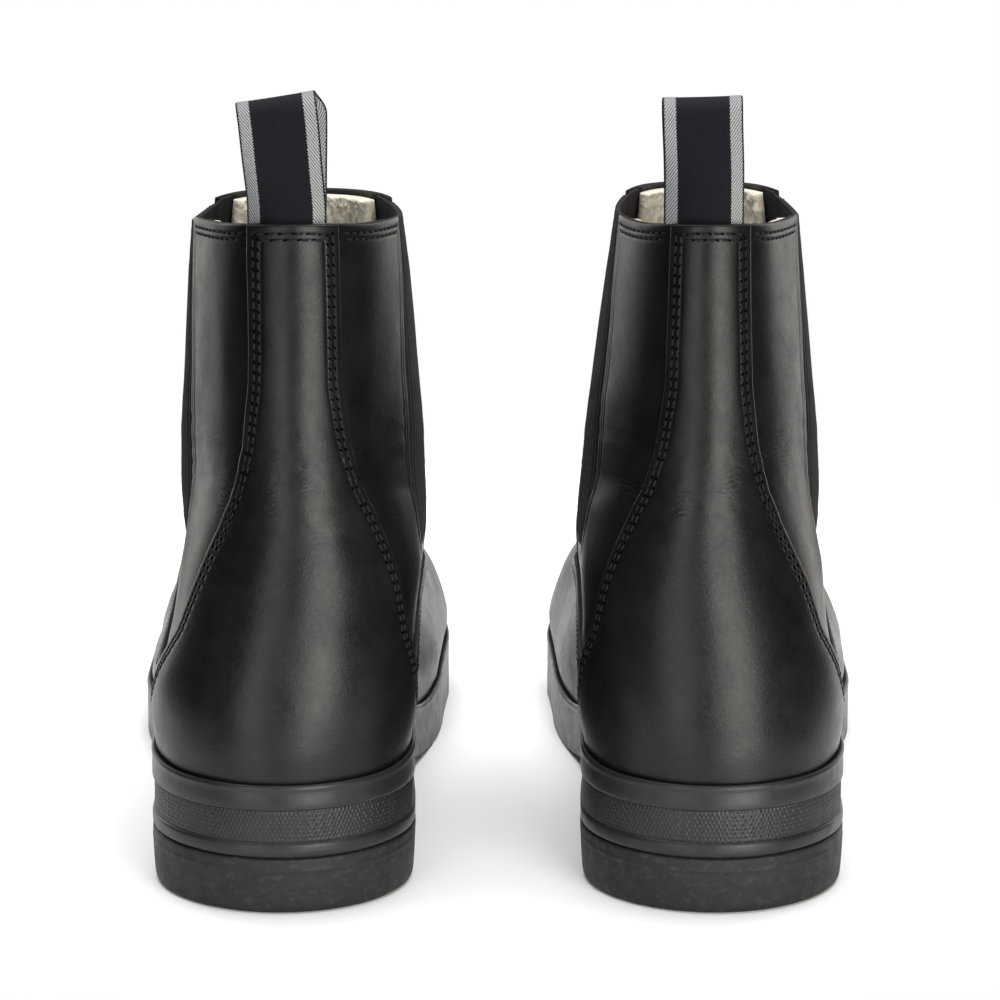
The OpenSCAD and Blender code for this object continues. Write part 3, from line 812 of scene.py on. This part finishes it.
def edge_material():
    s = Shader("cut_leather_edge", (0.008, 0.0075, 0.0075), 0.72, specular=0.15)
    s.colour(s.colours(s.noise(1.2, 4), (0.004, 0.004, 0.004), (0.014, 0.0125, 0.0115)))
    s.bump(s.noise(0.4, 4), 0.06)
    return s.material


def thread_material():
    s = Shader("black_thread", (0.004, 0.004, 0.0045), 0.6, specular=0.2, sheen=0.03)
    s.colour(s.colours(s.noise(0.6, 2), (0.002, 0.002, 0.0025), (0.007, 0.007, 0.008)))
    s.bump(s.noise(0.25, 2), 0.05)
    return s.material


def hole_shade_material():
    # Painted shade: near-black, matt and barely reflecting, for the flat patches that stand in for the shade
    # where the awl pierced the leather
    s = Shader("awl_hole_painted_shade", (0.0012, 0.0012, 0.0012), 0.95, specular=0.02)
    s.colour(s.colours(s.noise(0.5, 2), (0.0008, 0.0008, 0.0008), (0.0016, 0.0016, 0.0016)))
    return s.material


def elastic_material():
    s = Shader("black_elastic", (0.005, 0.005, 0.006), 0.85, specular=0.12, sheen=0.05)
    s.colour(s.colours(s.noise(0.7, 3), (0.003, 0.003, 0.004), (0.010, 0.010, 0.0115)))
    s.bump(s.noise(0.45, 2, (1, 1, 1.6)), 0.12)
    return s.material


def pile_material():
    s = Shader("cream_pile", (0.78, 0.72, 0.60), 0.95, specular=0.2, sheen=0.35)
    lumps = s.colours(s.span(s.noise(2.6, 4), 0.3, 0.7), (0.54, 0.49, 0.385), (0.83, 0.78, 0.665))
    soiled = s.colours(s.span(s.noise(16, 3), 0.56, 0.78, 0, 0.4), lumps, (0.50, 0.42, 0.28))
    s.colour(soiled)
    s.bump(s.noise(1.5, 4), 0.7)
    s.bump(s.noise(0.35, 3, (1, 1, 0.5)), 0.25)
    return s.material


def rubber_material():
    s = Shader("black_rubber", (0.011, 0.0115, 0.0125), 0.45, specular=0.35)
    s.colour(s.colours(s.span(s.noise(9, 5), 0.3, 0.7),
                       (0.008, 0.0083, 0.009), (0.0145, 0.015, 0.0165)))
    s.rough(s.span(s.noise(3.5, 4), 0.3, 0.7, 0.33, 0.46))
    s.bump(s.noise(0.5, 3), 0.012)
    return s.material


def heel_material():
    s = Shader("heel_rubber", (0.014, 0.0145, 0.016), 0.6, specular=0.3)
    scuffs = s.span(s.noise(3.2, 6, (1, 1, 1.7), 0.7), 0.52, 0.72)
    s.colour(s.colours(scuffs, (0.0115, 0.0118, 0.013), (0.034, 0.034, 0.035)))
    s.rough(s.span(s.noise(4, 5), 0.3, 0.7, 0.5, 0.7))
    s.bump(s.noise(1.8, 6, (1, 1, 1.5), 0.7), 0.09)
    s.bump(s.noise(0.4, 3), 0.02)
    return s.material


def webbing_material():
    """Twill webbing: black centre, light grey edge stripes and a black selvedge, by its UVs."""
    s = Shader("striped_webbing", (0.01, 0.0105, 0.013), 0.8, specular=0.12, sheen=0.03)
    split = s.node("ShaderNodeSeparateXYZ")
    s.link(s.node("ShaderNodeTexCoord").outputs["UV"], split.inputs[0])
    across = s.times(split.outputs["X"], WEB_WIDTH)
    along = s.times(split.outputs["Y"], WEB_LENGTH)
    diagonal = s.plus(s.times(across, 0.95), s.times(along, -0.62))

    def twill(pitch):
        return s.maths("SINE", s.times(diagonal, 2 * math.pi / pitch))

    coarse, fine = twill(0.7), twill(0.5)
    ragged = s.times(s.maths("SINE", s.times(along, 2 * math.pi / 0.8)), 0.12)
    from_edge = s.plus(s.maths("MINIMUM", across, s.maths("SUBTRACT", WEB_WIDTH, across)), ragged)
    stripe_end = WEB_SELVEDGE + WEB_STRIPE
    inside = s.span(from_edge, stripe_end - 0.05, stripe_end + 0.05)
    selvedge = s.span(from_edge, WEB_SELVEDGE - 0.05, WEB_SELVEDGE + 0.05, 1, 0)
    dark = s.maths("MAXIMUM", inside, selvedge)
    light = s.colours(s.span(coarse, -1, 0.6), (0.09, 0.093, 0.097), (0.31, 0.315, 0.32))
    black = s.colours(s.span(fine, -1, 1), (0.0028, 0.003, 0.0045), (0.0085, 0.0092, 0.0125))
    s.colour(s.colours(dark, light, black))
    s.bump(s.plus(s.times(coarse, s.maths("SUBTRACT", 1, dark)), s.times(fine, dark)), 0.05)
    s.bump(s.noise(0.3, 2), 0.03)
    return s.material


def board_material(name, low, high, grain):
    s = Shader(name, high, 0.85, specular=0.25)
    s.colour(s.colours(s.span(s.noise(grain, 5), 0.3, 0.7), low, high))
    s.bump(s.noise(grain / 2, 4), 0.08)
    return s.material


def steel_material():
    s = Shader("spring_steel", (0.55, 0.56, 0.58), 0.35)
    s.surface.inputs["Metallic"].default_value = 1
    s.colour(s.colours(s.noise(6, 4), (0.46, 0.47, 0.49), (0.62, 0.63, 0.65)))
    s.rough(s.span(s.noise(1, 3, (6, 0.3, 6)), 0.3, 0.7, 0.28, 0.45))
    return s.material


# ---------------------------------------------------------------- pieces of the upper

LEATHER_SEED = {"left": 10, "right": 50}
PILE_SEED = {"left": 100, "right": 200}
FOOTBED_SEED = {"left": 300, "right": 400}
# A field between these heights for the front leather and lining; it only keeps them unattached to the boot
FRONT_FIELD = ((0.0055, 0.098), (0.0055, 0.185))
# The gussets' field, from their rear edge forward; it only keeps them unattached to the boot
GUSSET_FIELD_START = np.array([-0.080, 0.190])
GUSSET_FIELD_STEP = 0.0345 * np.array([96, 37]) / math.hypot(96, 37)
# How far the elastic swells out between its edges by height on the last, and its top edge dips
ELASTIC_BULGE = ((4.3, 5.0, 7, 9, 10), (0.2, 1.5, 1.8, 1.1, 0.6))
ELASTIC_DIP = {"outer_gusset": 0.13, "inner_gusset": 0.04}
ELASTIC_FOOT_V, ELASTIC_LAP, RIB_PITCH, WEAVE_PITCH = 3.85, 6, 1.7, 2.9
# The lining's depths, its gap to the top edge and its margin beside the gussets
PILE_IN, PILE_OUT = -5.3, -1.9
PILE_RIM, PILE_MARGIN = 0.05, 0.9


def declare(obj, side, slot, *nodes, field=None, to="front"):
    """Hides the nodes that a piece replaces, and attaches it to its boot, or bakes its transform when a field
    is given; the slot is not used.
    """
    if nodes:
        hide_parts(*[f"{side}_{n}" for n in nodes])
    if field is None:
        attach(obj, f"{side}_boot")
    else:
        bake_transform(obj)


def build_leather(side, mats):
    """The leather panels and their stitches."""
    seed = LEATHER_SEED[side]
    straps, gussets = (OUTER_STRAP_EDGE, INNER_STRAP_EDGE), (OUTER_GUSSET_EDGE, INNER_GUSSET_EDGE)

    def panel(name, sheet, depths, *nodes, field=None):
        points, faces, kinds = sheet.solid(*depths)
        obj = add_piece(f"{name}_leather", points, faces, side, [mats["leather"], mats["edge"]], kinds)
        declare(obj, side, "black_leather", *nodes, field=field)
        return outer_tree(sheet, points)

    def stitch(name, rows, field=None):
        obj = add_stitches(f"{name}_stitches", side, rows, [mats["thread"], mats["hole"]])
        declare(obj, side, None, field=field)

    def part_of(edge, first, last):
        return {key: value[first:last] for key, value in edge.items()}

    strap = strap_sheet()
    tree = panel("strap", strap, strap_depths(strap, seed), "counter_strap")
    rows = sew(tree, (OUTER_STRAP_EDGE, 1, (TOP_EDGE,)), (INNER_STRAP_EDGE, -1, (TOP_EDGE,)),
               (polyline(np.linspace(-20, 20, 81), TOP), -1, straps))
    vamp = vamp_sheet()
    tree = panel("vamp", vamp, vamp_depths(vamp, seed + 5), "vamp")
    rows += sew(tree, (VAMP_EDGE, -1, straps))

    grid = quarter_grid()
    rear_top = np.linspace(float(strap_angle(TOP)) + 0.5, float(angle_at(GUSSET_REAR_Y, TOP)), 60)
    for name, g, edge, flip in (("outer_quarter", grid, OUTER_GUSSET_EDGE, 1),
                                ("inner_quarter", inner(grid), INNER_GUSSET_EDGE, -1)):
        sheet = Sheet(g)
        tree = panel(name, sheet, quarter_depths(sheet, edge, seed + 7 + flip), name)
        rows += sew(tree, (part_of(edge, None, OPENING_SPLIT - 2), flip, (TOP_EDGE,)),
                    (polyline(flip * rear_top, TOP), -flip, (edge, *straps)))
    stitch("rear", rows)

    front = Sheet(*front_grids())
    tree = panel("front", front, shaft_depths(front, seed + 9, gussets), "instep_panel", "front_shaft",
                 field=FRONT_FIELD)
    corner = float(angle_at(GUSSET_FRONT_Y, TOP))
    stitch("front", sew(tree, *[(part_of(edge, OPENING_SPLIT + 2, None), direction, (TOP_EDGE,))
                                for edge, direction in zip(gussets, (1, -1))],
                        (polyline(np.linspace(corner, 360 - corner, 121), TOP), -1, gussets)), FRONT_FIELD)


def gusset_share(y):
    """Position across the gusset, 0 at its rear edge and 1 at its front."""
    return np.clip((y - GUSSET_REAR_Y) / (GUSSET_FRONT_Y - GUSSET_REAR_Y), 0, 1)


def build_elastic(side, mats):
    """The ribbed elastic of both gussets, which runs on a little under the leather."""
    for name, edge in (("outer_gusset", OUTER_GUSSET_EDGE), ("inner_gusset", INNER_GUSSET_EDGE)):
        y = np.linspace(GUSSET_REAR_Y - ELASTIC_LAP, GUSSET_FRONT_Y + ELASTIC_LAP, 171)
        v = np.concatenate([np.linspace(ELASTIC_FOOT_V, 9.7, 52), np.linspace(9.74, TOP - 0.012, 8)])
        dip = ELASTIC_DIP[name] * ease(9, TOP, v)[:, None]
        v = v[:, None] - dip * np.sin(math.pi * gusset_share(y)) ** 0.6
        grid = np.stack([angle_at(y[None], v), v], -1)
        sheet = Sheet(inner(grid) if edge is INNER_GUSSET_EDGE else grid)
        y = sheet.p[:, 1]
        seen = (np.minimum(y - GUSSET_REAR_Y, GUSSET_FRONT_Y - y) > 0) * (sheet.v > OPENING_FOOT_V)
        inside = ease(1, 5, distance_to(sheet.p, edge)) * seen
        ribs = np.cos(2 * math.pi * (y - GUSSET_REAR_Y) / RIB_PITCH)
        weave = np.cos(2 * math.pi * sheet.p[:, 2] / WEAVE_PITCH + 1.5 * ribs)
        bulge = np.interp(sheet.v, *ELASTIC_BULGE) * np.sin(math.pi * gusset_share(y)) ** 0.7 * inside
        out = -0.15 + 0.55 * inside + bulge + 0.13 * ribs + 0.03 * weave
        points, faces, _ = sheet.solid(bulge - 1.0, out)
        obj = add_piece(f"{name}_elastic", points, faces, side, [mats["elastic"]], crease=60)
        declare(obj, side, "black_elastic", name,
                field=(GUSSET_FIELD_START, GUSSET_FIELD_START + GUSSET_FIELD_STEP))


def build_lining(side, mats):
    """Pile inside the shaft's rear and front and inside the foot."""
    seed = PILE_SEED[side]

    def pile(name, c, v, offset, field=None):
        sheet = Sheet(column_points(c[None], v))
        tufts = sum(size * ripple(sheet.p, wavelength, seed + offset + i)
                    for i, (size, wavelength) in enumerate(((0.45, 3.4), (0.35, 1.9), (0.3, 11))))
        inward = PILE_IN + 0.3 + np.clip(tufts, -0.9, 0.9) * 0.75
        points, faces, _ = sheet.solid(inward, PILE_OUT)
        obj = add_piece(f"{name}_pile", points, faces, side, [mats["pile"]], crease=180)
        declare(obj, side, "cream_pile", f"{name}_lining", field=field)

    rim = np.array([0, 0.25, 0.6, 1.1, 1.7, 2.4]) / MM_PER_RING_AT_TOP
    v = np.concatenate([np.arange(GUSSET_FOOT_V + 0.02, 9.85, 0.075), (TOP - PILE_RIM - rim)[::-1]])
    pile("rear", np.linspace(-COLS[2], COLS[2], 91), v[:, None], 0)

    c = np.linspace(COLS[3] + PILE_MARGIN, 2 * HALF - COLS[3] - PILE_MARGIN, 101)
    share = np.concatenate([np.linspace(0, 0.955, 60), np.linspace(0.965, 1, 7)])
    pile("front", c, mix(flex_line(c)[None] + 0.05, TOP - PILE_RIM, share[:, None]), 20, FRONT_FIELD)

    c = np.linspace(0, 2 * HALF, 171)
    pile("foot", c, mix(0.22, flex_line(c)[None] - 0.03, np.linspace(0, 1, 46)[:, None]), 40)


# ---------------------------------------------------------------- pull loop

LOOP_X, LOOP_Y, LOOP_Z, LOOP_H = -3.0, -116.7, 192.5, 31.5
LOOP_BELLY, LOOP_GAP, WEB_THICK = 4.6, 0.42, 0.85
TAIL_FOOT_Z = 172.0
# Middle at the foot, then at the top: sideways lean, twist and roll in degrees, skew of the far leg
LOOP_SHAPE = {"left": {"middle": -1.3, "lean": 2.8, "twist": -2.0, "roll": -9.0, "skew": -3.0},
              "right": {"middle": -4.9, "lean": -0.7, "twist": 0.0, "roll": 1.8, "skew": 0.0}}
LOOP_FIELD = ((LOOP_Y * MM, 0.1905), (LOOP_Y * MM, 0.1965))


def loop_path():
    """The webbing's centreline in side view as (y, z), from the outer tail over the top to the inner."""
    top = LOOP_Z + LOOP_H - LOOP_BELLY
    a = np.radians(np.linspace(-18, 90, 16))
    belly = LOOP_BELLY - WEB_THICK / 2
    arc = np.stack([belly * np.cos(a), top + belly * np.sin(a)], -1)
    z = np.linspace(LOOP_Z - 3.5, arc[0, 1], 22)[:-1]
    leg_y = mix(LOOP_GAP, arc[0, 0], ease(LOOP_Z - 1, arc[0, 1] + 3, z) ** 0.9)
    tail = np.stack([np.full(14, LOOP_GAP), np.linspace(TAIL_FOOT_Z, z[0], 15)[:-1]], -1)
    half = np.concatenate([tail, np.stack([leg_y, z], -1), arc])
    return np.concatenate([half * [-1, 1], half[::-1][1:]]) + [LOOP_Y, 0]


def build_loop(side, mats):
    """The folded webbing, bent round the back at its foot and leaning, twisted and rolled above it."""
    shape = LOOP_SHAPE[side]
    path = loop_path()
    x = np.linspace(-WEB_WIDTH / 2, WEB_WIDTH / 2, 45)
    tangent = unit(np.gradient(path, axis=0))
    normal = np.stack([-tangent[:, 1], tangent[:, 0]], -1)
    arc = arc_length(path)
    far = ease(0, 5, arc - arc[np.argmax(path[:, 1])])[:, None]
    rear = last_point(np.linspace(-60, 60, 241), TOP)
    curve = np.interp(shape["middle"] + x, rear[:, 0], rear[:, 1]) - rear[:, 1].min()
    edge = WEB_WIDTH / 2 - np.abs(x)
    stripe = (edge > WEB_SELVEDGE) & (edge < WEB_SELVEDGE + WEB_STRIPE)
    thick = WEB_THICK / 2 * (0.55 + 0.45 * ease(0, 0.5, edge)) + 0.07 * stripe
    layers = []
    for sign in (1, -1):
        yz = path[:, None] + sign * normal[:, None] * thick[None, :, None]
        lift = np.clip((yz[..., 1] - LOOP_Z) / LOOP_H, 0, 1)
        py = yz[..., 0] + curve[None] * (1 - 0.85 * ease(0, 0.75, lift)) - LOOP_Y
        twist = np.radians(shape["twist"]) * lift
        px = x * np.cos(twist) - py * np.sin(twist)
        py = LOOP_Y + x * np.sin(twist) + py * np.cos(twist)
        pz = yz[..., 1] + px * np.sin(np.radians(shape["roll"])) * lift ** 2
        skew = shape["skew"] * lift * far * (1 - 0.9 * ease(0.8, 1, lift))
        px = px + shape["lean"] * lift ** 1.3 + skew + 0.25 * lift * np.sin(pz / 6)
        px = shape["middle"] + px / (1 + WIDENING[side][-1])
        layers.append(np.stack([px, py, pz], -1).reshape(-1, 3))
    across, along = np.broadcast_arrays((x / WEB_WIDTH + 0.5)[None], (arc / arc[-1])[:, None])
    uv = np.stack([across, along], -1).reshape(-1, 2)
    obj = add_piece("loop_webbing", np.concatenate(layers), closed_faces(len(path), len(x)), side,
                    [mats["webbing"]], crease=60, uv=np.concatenate([uv, uv]))
    declare(obj, side, "striped_webbing", "pull_loop", "pull_loop_tail", field=LOOP_FIELD, to="loop")


# ---------------------------------------------------------------- sole

SOLE_RIM, SOLE_AT_HEEL = 4.9, 19.8
HEEL_H, HEEL_FRONT_Y, HEEL_HOLLOW, BREAST_POINTS = 16.0, -68.0, 1.6, 24
# The hatched band, which fades out at the waist, and the lip that rises beside the heel's front
HATCH_PITCH, HATCH_DEPTH, BAND_DROP, BAND_END_Y = 1.2, 0.19, -5.9, (-50, -8)
LIP_RISE, LIP_REAR_Y, LIP_FRONT_Y = 1.9, (-124, -88), (-72, -20)
TREAD_PITCH, TREAD_DEPTH, TREAD_REAR_Y, TREAD_FRONT_Y = 7.5, 1.3, (6, 9), (118, 122)
# The hollow under the insole: margin, rear and front ends and depth
POCKET_MARGIN, POCKET_Y, POCKET_DEPTH = 9.6, (-119.5, 117.5), 3.05
CORE_INSET, TREAD_MARGIN = 3.4, 3.5
FOOTBED_INSET, FOOTBED_LOW, FOOTBED_TOP = 6.2, 2.5, 7.2
# The wall's profile from the top edge down: outward offset, height below the top edge, knurling
WALL_TOP = [(-5.5, -0.02), (-2.4, 0.0), (-1.55, 0.15), (-1.3, 0.45), (-0.95, 0.72), (-0.5, 0.75),
            (-0.1, 0.52), (0.12, 0.1), (0.14, -0.4), (0.02, -0.95), (-0.05, -1.5), (0.0, -2.6),
            (0.02, -4.4), (0, BAND_DROP), (-0.08, -6.25), (-0.35, -6.5), (-0.7, -6.7)]
WALL_BAND = [(-0.72, z) for z in np.linspace(-6.85, -15.55, 24)]
WALL_LOW = [(-0.7, -15.7), (-0.3, -15.9), (-0.03, -16.15), (0.08, -16.7), (0.08, -18.2), (0.04, -19.2),
            (-0.1, -19.52), (-0.4, -19.72), (-0.9, -SOLE_AT_HEEL), (-5.5, -SOLE_AT_HEEL)]
# The heel block's profile from the ground up: outward offset and height
HEEL_PROFILE = [(-2.6, 0.0), (-1.7, 0.12), (-1.05, 0.5), (-0.7, 1.1), (-0.52, 2.0), (-0.4, 3.2),
                (-0.27, 5), (-0.15, 7), (-0.06, 9), (0, 11), (0, 12.0), (0.1, 12.2), (0.1, 12.45),
                (0, 12.65), (0.02, 14.4), (0.02, 15.1), (-0.12, 15.5), (-0.4, 15.72), (-0.9, 15.8),
                (-1.2, 15.85), (-1.2, HEEL_H)]


def plan_outline(grow, spacing):
    """The sole's outline in plan, evenly spaced: points, outward directions and distances along."""
    t = np.linspace(0, 360, 1441)[:-1]
    p = ring_point(np.zeros(len(t), int), t)[:, :2]
    d = unit(np.roll(p, -1, 0) - np.roll(p, 1, 0))
    p = p + grow * np.stack([d[:, 1], -d[:, 0]], -1)
    closed = np.concatenate([p, p[:1]])
    arc = arc_length(closed)
    count = int(round(arc[-1] / spacing))
    at = np.arange(count) * arc[-1] / count
    q = read_off(at, arc, closed)
    d = unit(np.roll(q, -2, 0) - np.roll(q, 2, 0))
    return q, np.stack([d[:, 1], -d[:, 0]], -1), at


def build_sole_wall(side, mats):
    """The sole's side with its lip and hatched band."""
    p, out, arc = plan_outline(SOLE_RIM, 0.34)
    y, cols = p[:, 1], len(p)
    offset, drop = np.array(WALL_TOP + WALL_BAND + WALL_LOW).T[..., None]
    knurl = np.repeat((0, 1, 0), (len(WALL_TOP), len(WALL_BAND), len(WALL_LOW)))[:, None]
    count = len(drop)
    high = sole_top(y) - sole_floor(y)
    on_lip = (drop > -1) & (offset > -1.5)
    lip = LIP_RISE * ease(*LIP_REAR_Y, y) * (1 - ease(*LIP_FRONT_Y, y)) * on_lip
    z = sole_top(y) + lip + np.where(drop < -1, drop * high / SOLE_AT_HEEL, drop)
    z = np.maximum(z, sole_floor(y))
    phase = arc / (arc[-1] + arc[1]) * 2 * math.pi * round(arc[-1] / HATCH_PITCH)
    slope = 2 * math.pi * z / HATCH_PITCH * 0.5
    ridges = np.maximum(np.sin(phase + slope), np.sin(phase - slope) * 0.75)
    at_heel = 1 - ease(*BAND_END_Y, y)
    in_band = (drop < BAND_DROP) & (offset > -0.8)
    offset = np.where(in_band, (offset + knurl * HATCH_DEPTH * ridges) * at_heel, offset)
    points = np.concatenate([p[None] + out[None] * offset[..., None], z[..., None]], -1).reshape(-1, 3)
    faces = grid_quads(count, cols, wrap=True)[:, ::-1].tolist()
    low = (count - 1) * cols
    faces += [[low + (j + 1) % cols, low + j, j, (j + 1) % cols] for j in range(cols)]
    obj = add_piece("sole_wall", points, faces, side, [mats["rubber"]], crease=42)
    declare(obj, side, "black_rubber")


def plan_grid(grow, rows, cols):
    """Plan points across the foot, from the inner to the outer outline, station by station."""
    p, _, _ = plan_outline(grow, 0.5)
    order = np.roll(p, -int(np.argmin(p[:, 1])), 0)
    toe = int(np.argmax(order[:, 1]))
    share = np.linspace(0, 1, rows)
    share = share - 0.6 * np.sin(2 * math.pi * share) / (2 * math.pi)

    def along(line):
        arc = arc_length(line)
        return read_off(share * arc[-1], arc, line)

    outer, inner_side = along(order[:toe + 1]), along(np.concatenate([order[toe:], order[:1]])[::-1])
    return mix(inner_side[:, None], outer[:, None], np.linspace(0, 1, cols)[None, :, None])


def closed_slab(top_z, low_z, plan):
    """A closed solid between two height fields over a plan grid."""
    layers = [np.concatenate([plan, z[..., None]], -1).reshape(-1, 3) for z in (top_z, low_z)]
    return np.concatenate(layers), closed_faces(*plan.shape[:2])


def tread(x, y):
    """Depth of the tread's grooves: wavy bars across the forefoot and the toe, plain at the waist."""
    bars = np.abs(((y + 3.2 * np.cos(x / 9)) / TREAD_PITCH) % 1 - 0.5) * 2
    zone = ease(*TREAD_REAR_Y, y) * (1 - ease(*TREAD_FRONT_Y, y))
    return TREAD_DEPTH * ease(0.55, 0.8, bars) * zone


def build_sole_core(side, mats):
    """The sole's body, with the insole's hollow above and the tread below."""
    plan = plan_grid(SOLE_RIM - CORE_INSET, 231, 61)
    x, y = plan[..., 0], plan[..., 1]
    edge_share = np.minimum(np.linspace(0, 1, 61), np.linspace(1, 0, 61))[None]
    from_edge = edge_share * np.linalg.norm(plan[:, -1] - plan[:, 0], axis=-1)[:, None]
    pocket = (from_edge > POCKET_MARGIN) & (y > POCKET_Y[0]) & (y < POCKET_Y[1])
    top = sole_top(y) - np.where(pocket, POCKET_DEPTH, 0.02)
    low = sole_floor(y) + np.where(from_edge > TREAD_MARGIN, tread(x, y), 0)
    points, faces = closed_slab(top, np.minimum(low, top - 1), plan)
    obj = add_piece("sole_core", points, faces, side, [mats["rubber"]], crease=35)
    declare(obj, side, "black_rubber", "sole_unit")


def build_heel(side, mats):
    """The heel block: the sole's outline behind its front edge, closed by a slightly hollow breast."""
    p, out, _ = plan_outline(SOLE_RIM, 0.8)
    p, out = np.roll(p, len(p) // 2, 0), np.roll(out, len(p) // 2, 0)
    keep = p[:, 1] < HEEL_FRONT_Y
    first = int(np.argmax(keep & ~np.roll(keep, 1)))
    p, out, keep = (np.roll(a, -first, 0) for a in (p, out, keep))
    p, out = p[keep], out[keep]
    across = np.linspace(0, 1, BREAST_POINTS + 2)[1:-1, None]
    rows = []
    for offset, z in HEEL_PROFILE:
        q = p + out * offset
        breast_y = HEEL_FRONT_Y + min(offset, 0) * 0.6
        q[:, 1] = np.minimum(q[:, 1], breast_y)
        q[0, 1] = q[-1, 1] = breast_y
        front = mix(q[-1], q[0], across)
        front[:, 1] -= HEEL_HOLLOW * (4 * across[:, 0] * (1 - across[:, 0]))
        ring = np.concatenate([q, front])
        rows.append(np.concatenate([ring, np.full((len(ring), 1), z)], -1))
    count, cols = len(rows), len(rows[0])
    faces = grid_quads(count, cols, wrap=True).tolist()
    faces += [list(range(cols))[::-1], [(count - 1) * cols + i for i in range(cols)]]
    obj = add_piece("heel_rubber", np.concatenate(rows), faces, side, [mats["heel"]], crease=42)
    declare(obj, side, "heel_rubber", "heel_block")


def build_footbed(side, mats):
    plan = plan_grid(-FOOTBED_INSET, 201, 45)
    y, seed = plan[..., 1], FOOTBED_SEED[side]
    flat = np.concatenate([plan, np.zeros(plan.shape[:2] + (1,))], -1)
    tufts = sum(size * ripple(flat, wavelength, seed + i)
                for i, (size, wavelength) in enumerate(((0.3, 3.6), (0.22, 2.1), (0.35, 14))))
    rounding = 1.6 * np.abs(np.linspace(-1, 1, 45)[None]) ** 8
    top = sole_top(y) + FOOTBED_TOP + tufts * 0.8 - rounding
    points, faces = closed_slab(top, sole_top(y) + FOOTBED_LOW, plan)
    obj = add_piece("footbed_pile", points, faces, side, [mats["pile"]], crease=80)
    declare(obj, side, "cream_pile", "footbed")


def finish_hidden_parts(side, mats):
    """The stiffening and bottom pieces inside the boot keep their CAD shapes."""
    for node, material in (("toe_puff", "board"), ("heel_stiffener", "board"), ("insole_board", "insole"),
                           ("bottom_filler", "cork"), ("shank", "steel")):
        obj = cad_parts[f"{side}_{node}"]
        obj.data.materials.clear()
        obj.data.materials.append(mats[material])


# ---------------------------------------------------------------- studio

FLOOR_Y, FLOOR_Z, FLOOR_RADII = 0.08, -0.0001, (0.2, 0.3)


def make_floor():
    """A pale disc just below the soles."""
    mesh = bpy.data.meshes.new("floor")
    a = np.linspace(0, 2 * math.pi, 97)[:-1]
    points = [[0, FLOOR_Y, FLOOR_Z]]
    points += [[r * math.cos(x), FLOOR_Y + r * math.sin(x), FLOOR_Z] for r in FLOOR_RADII for x in a]
    n = len(a)
    faces = [[0, 1 + i, 1 + (i + 1) % n] for i in range(n)]
    faces += [[1 + i, 1 + n + i, 1 + n + (i + 1) % n, 1 + (i + 1) % n] for i in range(n)]
    mesh.from_pydata(points, [], faces)
    obj = bpy.data.objects.new("floor", mesh)
    bpy.context.scene.collection.objects.link(obj)
    mesh.materials.append(Shader("pale_floor", (0.9, 0.9, 0.9), 0.9, specular=0.1).material)


def area_light(name, place, aim, size, power, colour=(1, 1, 1)):
    data = bpy.data.lights.new(name, "AREA")
    data.shape, data.size, data.size_y = "RECTANGLE", size[0], size[1]
    data.energy, data.color = power, colour
    obj = bpy.data.objects.new(name, data)
    obj.location = place
    obj.rotation_euler = (Vector(aim) - Vector(place)).to_track_quat("-Z", "Y").to_euler()
    obj.visible_camera = False
    bpy.context.scene.collection.objects.link(obj)


def make_lights():
    """Two tall panels behind the camera, a pair each beside and beyond the boots, one overhead."""
    heel = (0, -0.12, 0.12)
    area_light("warm_panel", (0.70, -1.45, 0.15), heel, (0.85, 2.0), 44, (1, 0.965, 0.90))
    area_light("cool_panel", (-0.72, -1.46, 0.15), heel, (0.66, 2.0), 15, (0.86, 0.93, 1))
    for name, (x, y, z), size, power, colour in (("side", (0.98, 0.98, 0.35), (0.5, 1.3), 5, (1, 0.96, 0.91)),
                                                 ("back", (0.55, 1.7, 0.2), (0.7, 0.6), 3, (1, 0.97, 0.93))):
        area_light(f"right_{name}", (x, y, z), heel, size, power, colour)
        area_light(f"left_{name}", (-x, y, z), heel, size, power, colour)
    area_light("top", (0, 0.25, 1.7), (0, 0.1, 0), (1.7, 1.5), 52)


def make_world():
    """White to the camera, and a dim grey studio to everything else."""
    world = bpy.data.worlds.new("studio")
    world.use_nodes = True
    nodes, links = world.node_tree.nodes, world.node_tree.links
    nodes.clear()
    seen, lit, path, mixed, out = (nodes.new(f"ShaderNode{kind}") for kind in (
        "Background", "Background", "LightPath", "MixShader", "OutputWorld"))
    seen.inputs["Color"].default_value = (1, 1, 1, 1)
    lit.inputs["Color"].default_value = (0.03, 0.03, 0.033, 1)
    links.new(path.outputs["Is Camera Ray"], mixed.inputs["Fac"])
    links.new(lit.outputs[0], mixed.inputs[1])
    links.new(seen.outputs[0], mixed.inputs[2])
    links.new(mixed.outputs[0], out.inputs["Surface"])
    bpy.context.scene.world = world
    bpy.context.scene.view_settings.view_transform = "Standard"


# ---------------------------------------------------------------- the whole scene

make_camera()
MATERIALS = {
    "leather": leather_material(), "edge": edge_material(), "thread": thread_material(),
    "hole": hole_shade_material(), "elastic": elastic_material(), "pile": pile_material(),
    "rubber": rubber_material(), "heel": heel_material(), "webbing": webbing_material(),
    "steel": steel_material(),
    "board": board_material("stiffener_board", (0.42, 0.34, 0.22), (0.58, 0.48, 0.34), 3),
    "insole": board_material("insole_board", (0.36, 0.26, 0.15), (0.50, 0.38, 0.24), 4),
    "cork": board_material("cork_filler", (0.22, 0.15, 0.09), (0.38, 0.28, 0.18), 2.5)}
for SIDE in SIDES:
    for build in (build_leather, build_elastic, build_lining, build_loop, build_sole_wall, build_sole_core,
                  build_heel, build_footbed, finish_hidden_parts):
        build(SIDE, MATERIALS)
make_floor()
make_lights()
make_world()
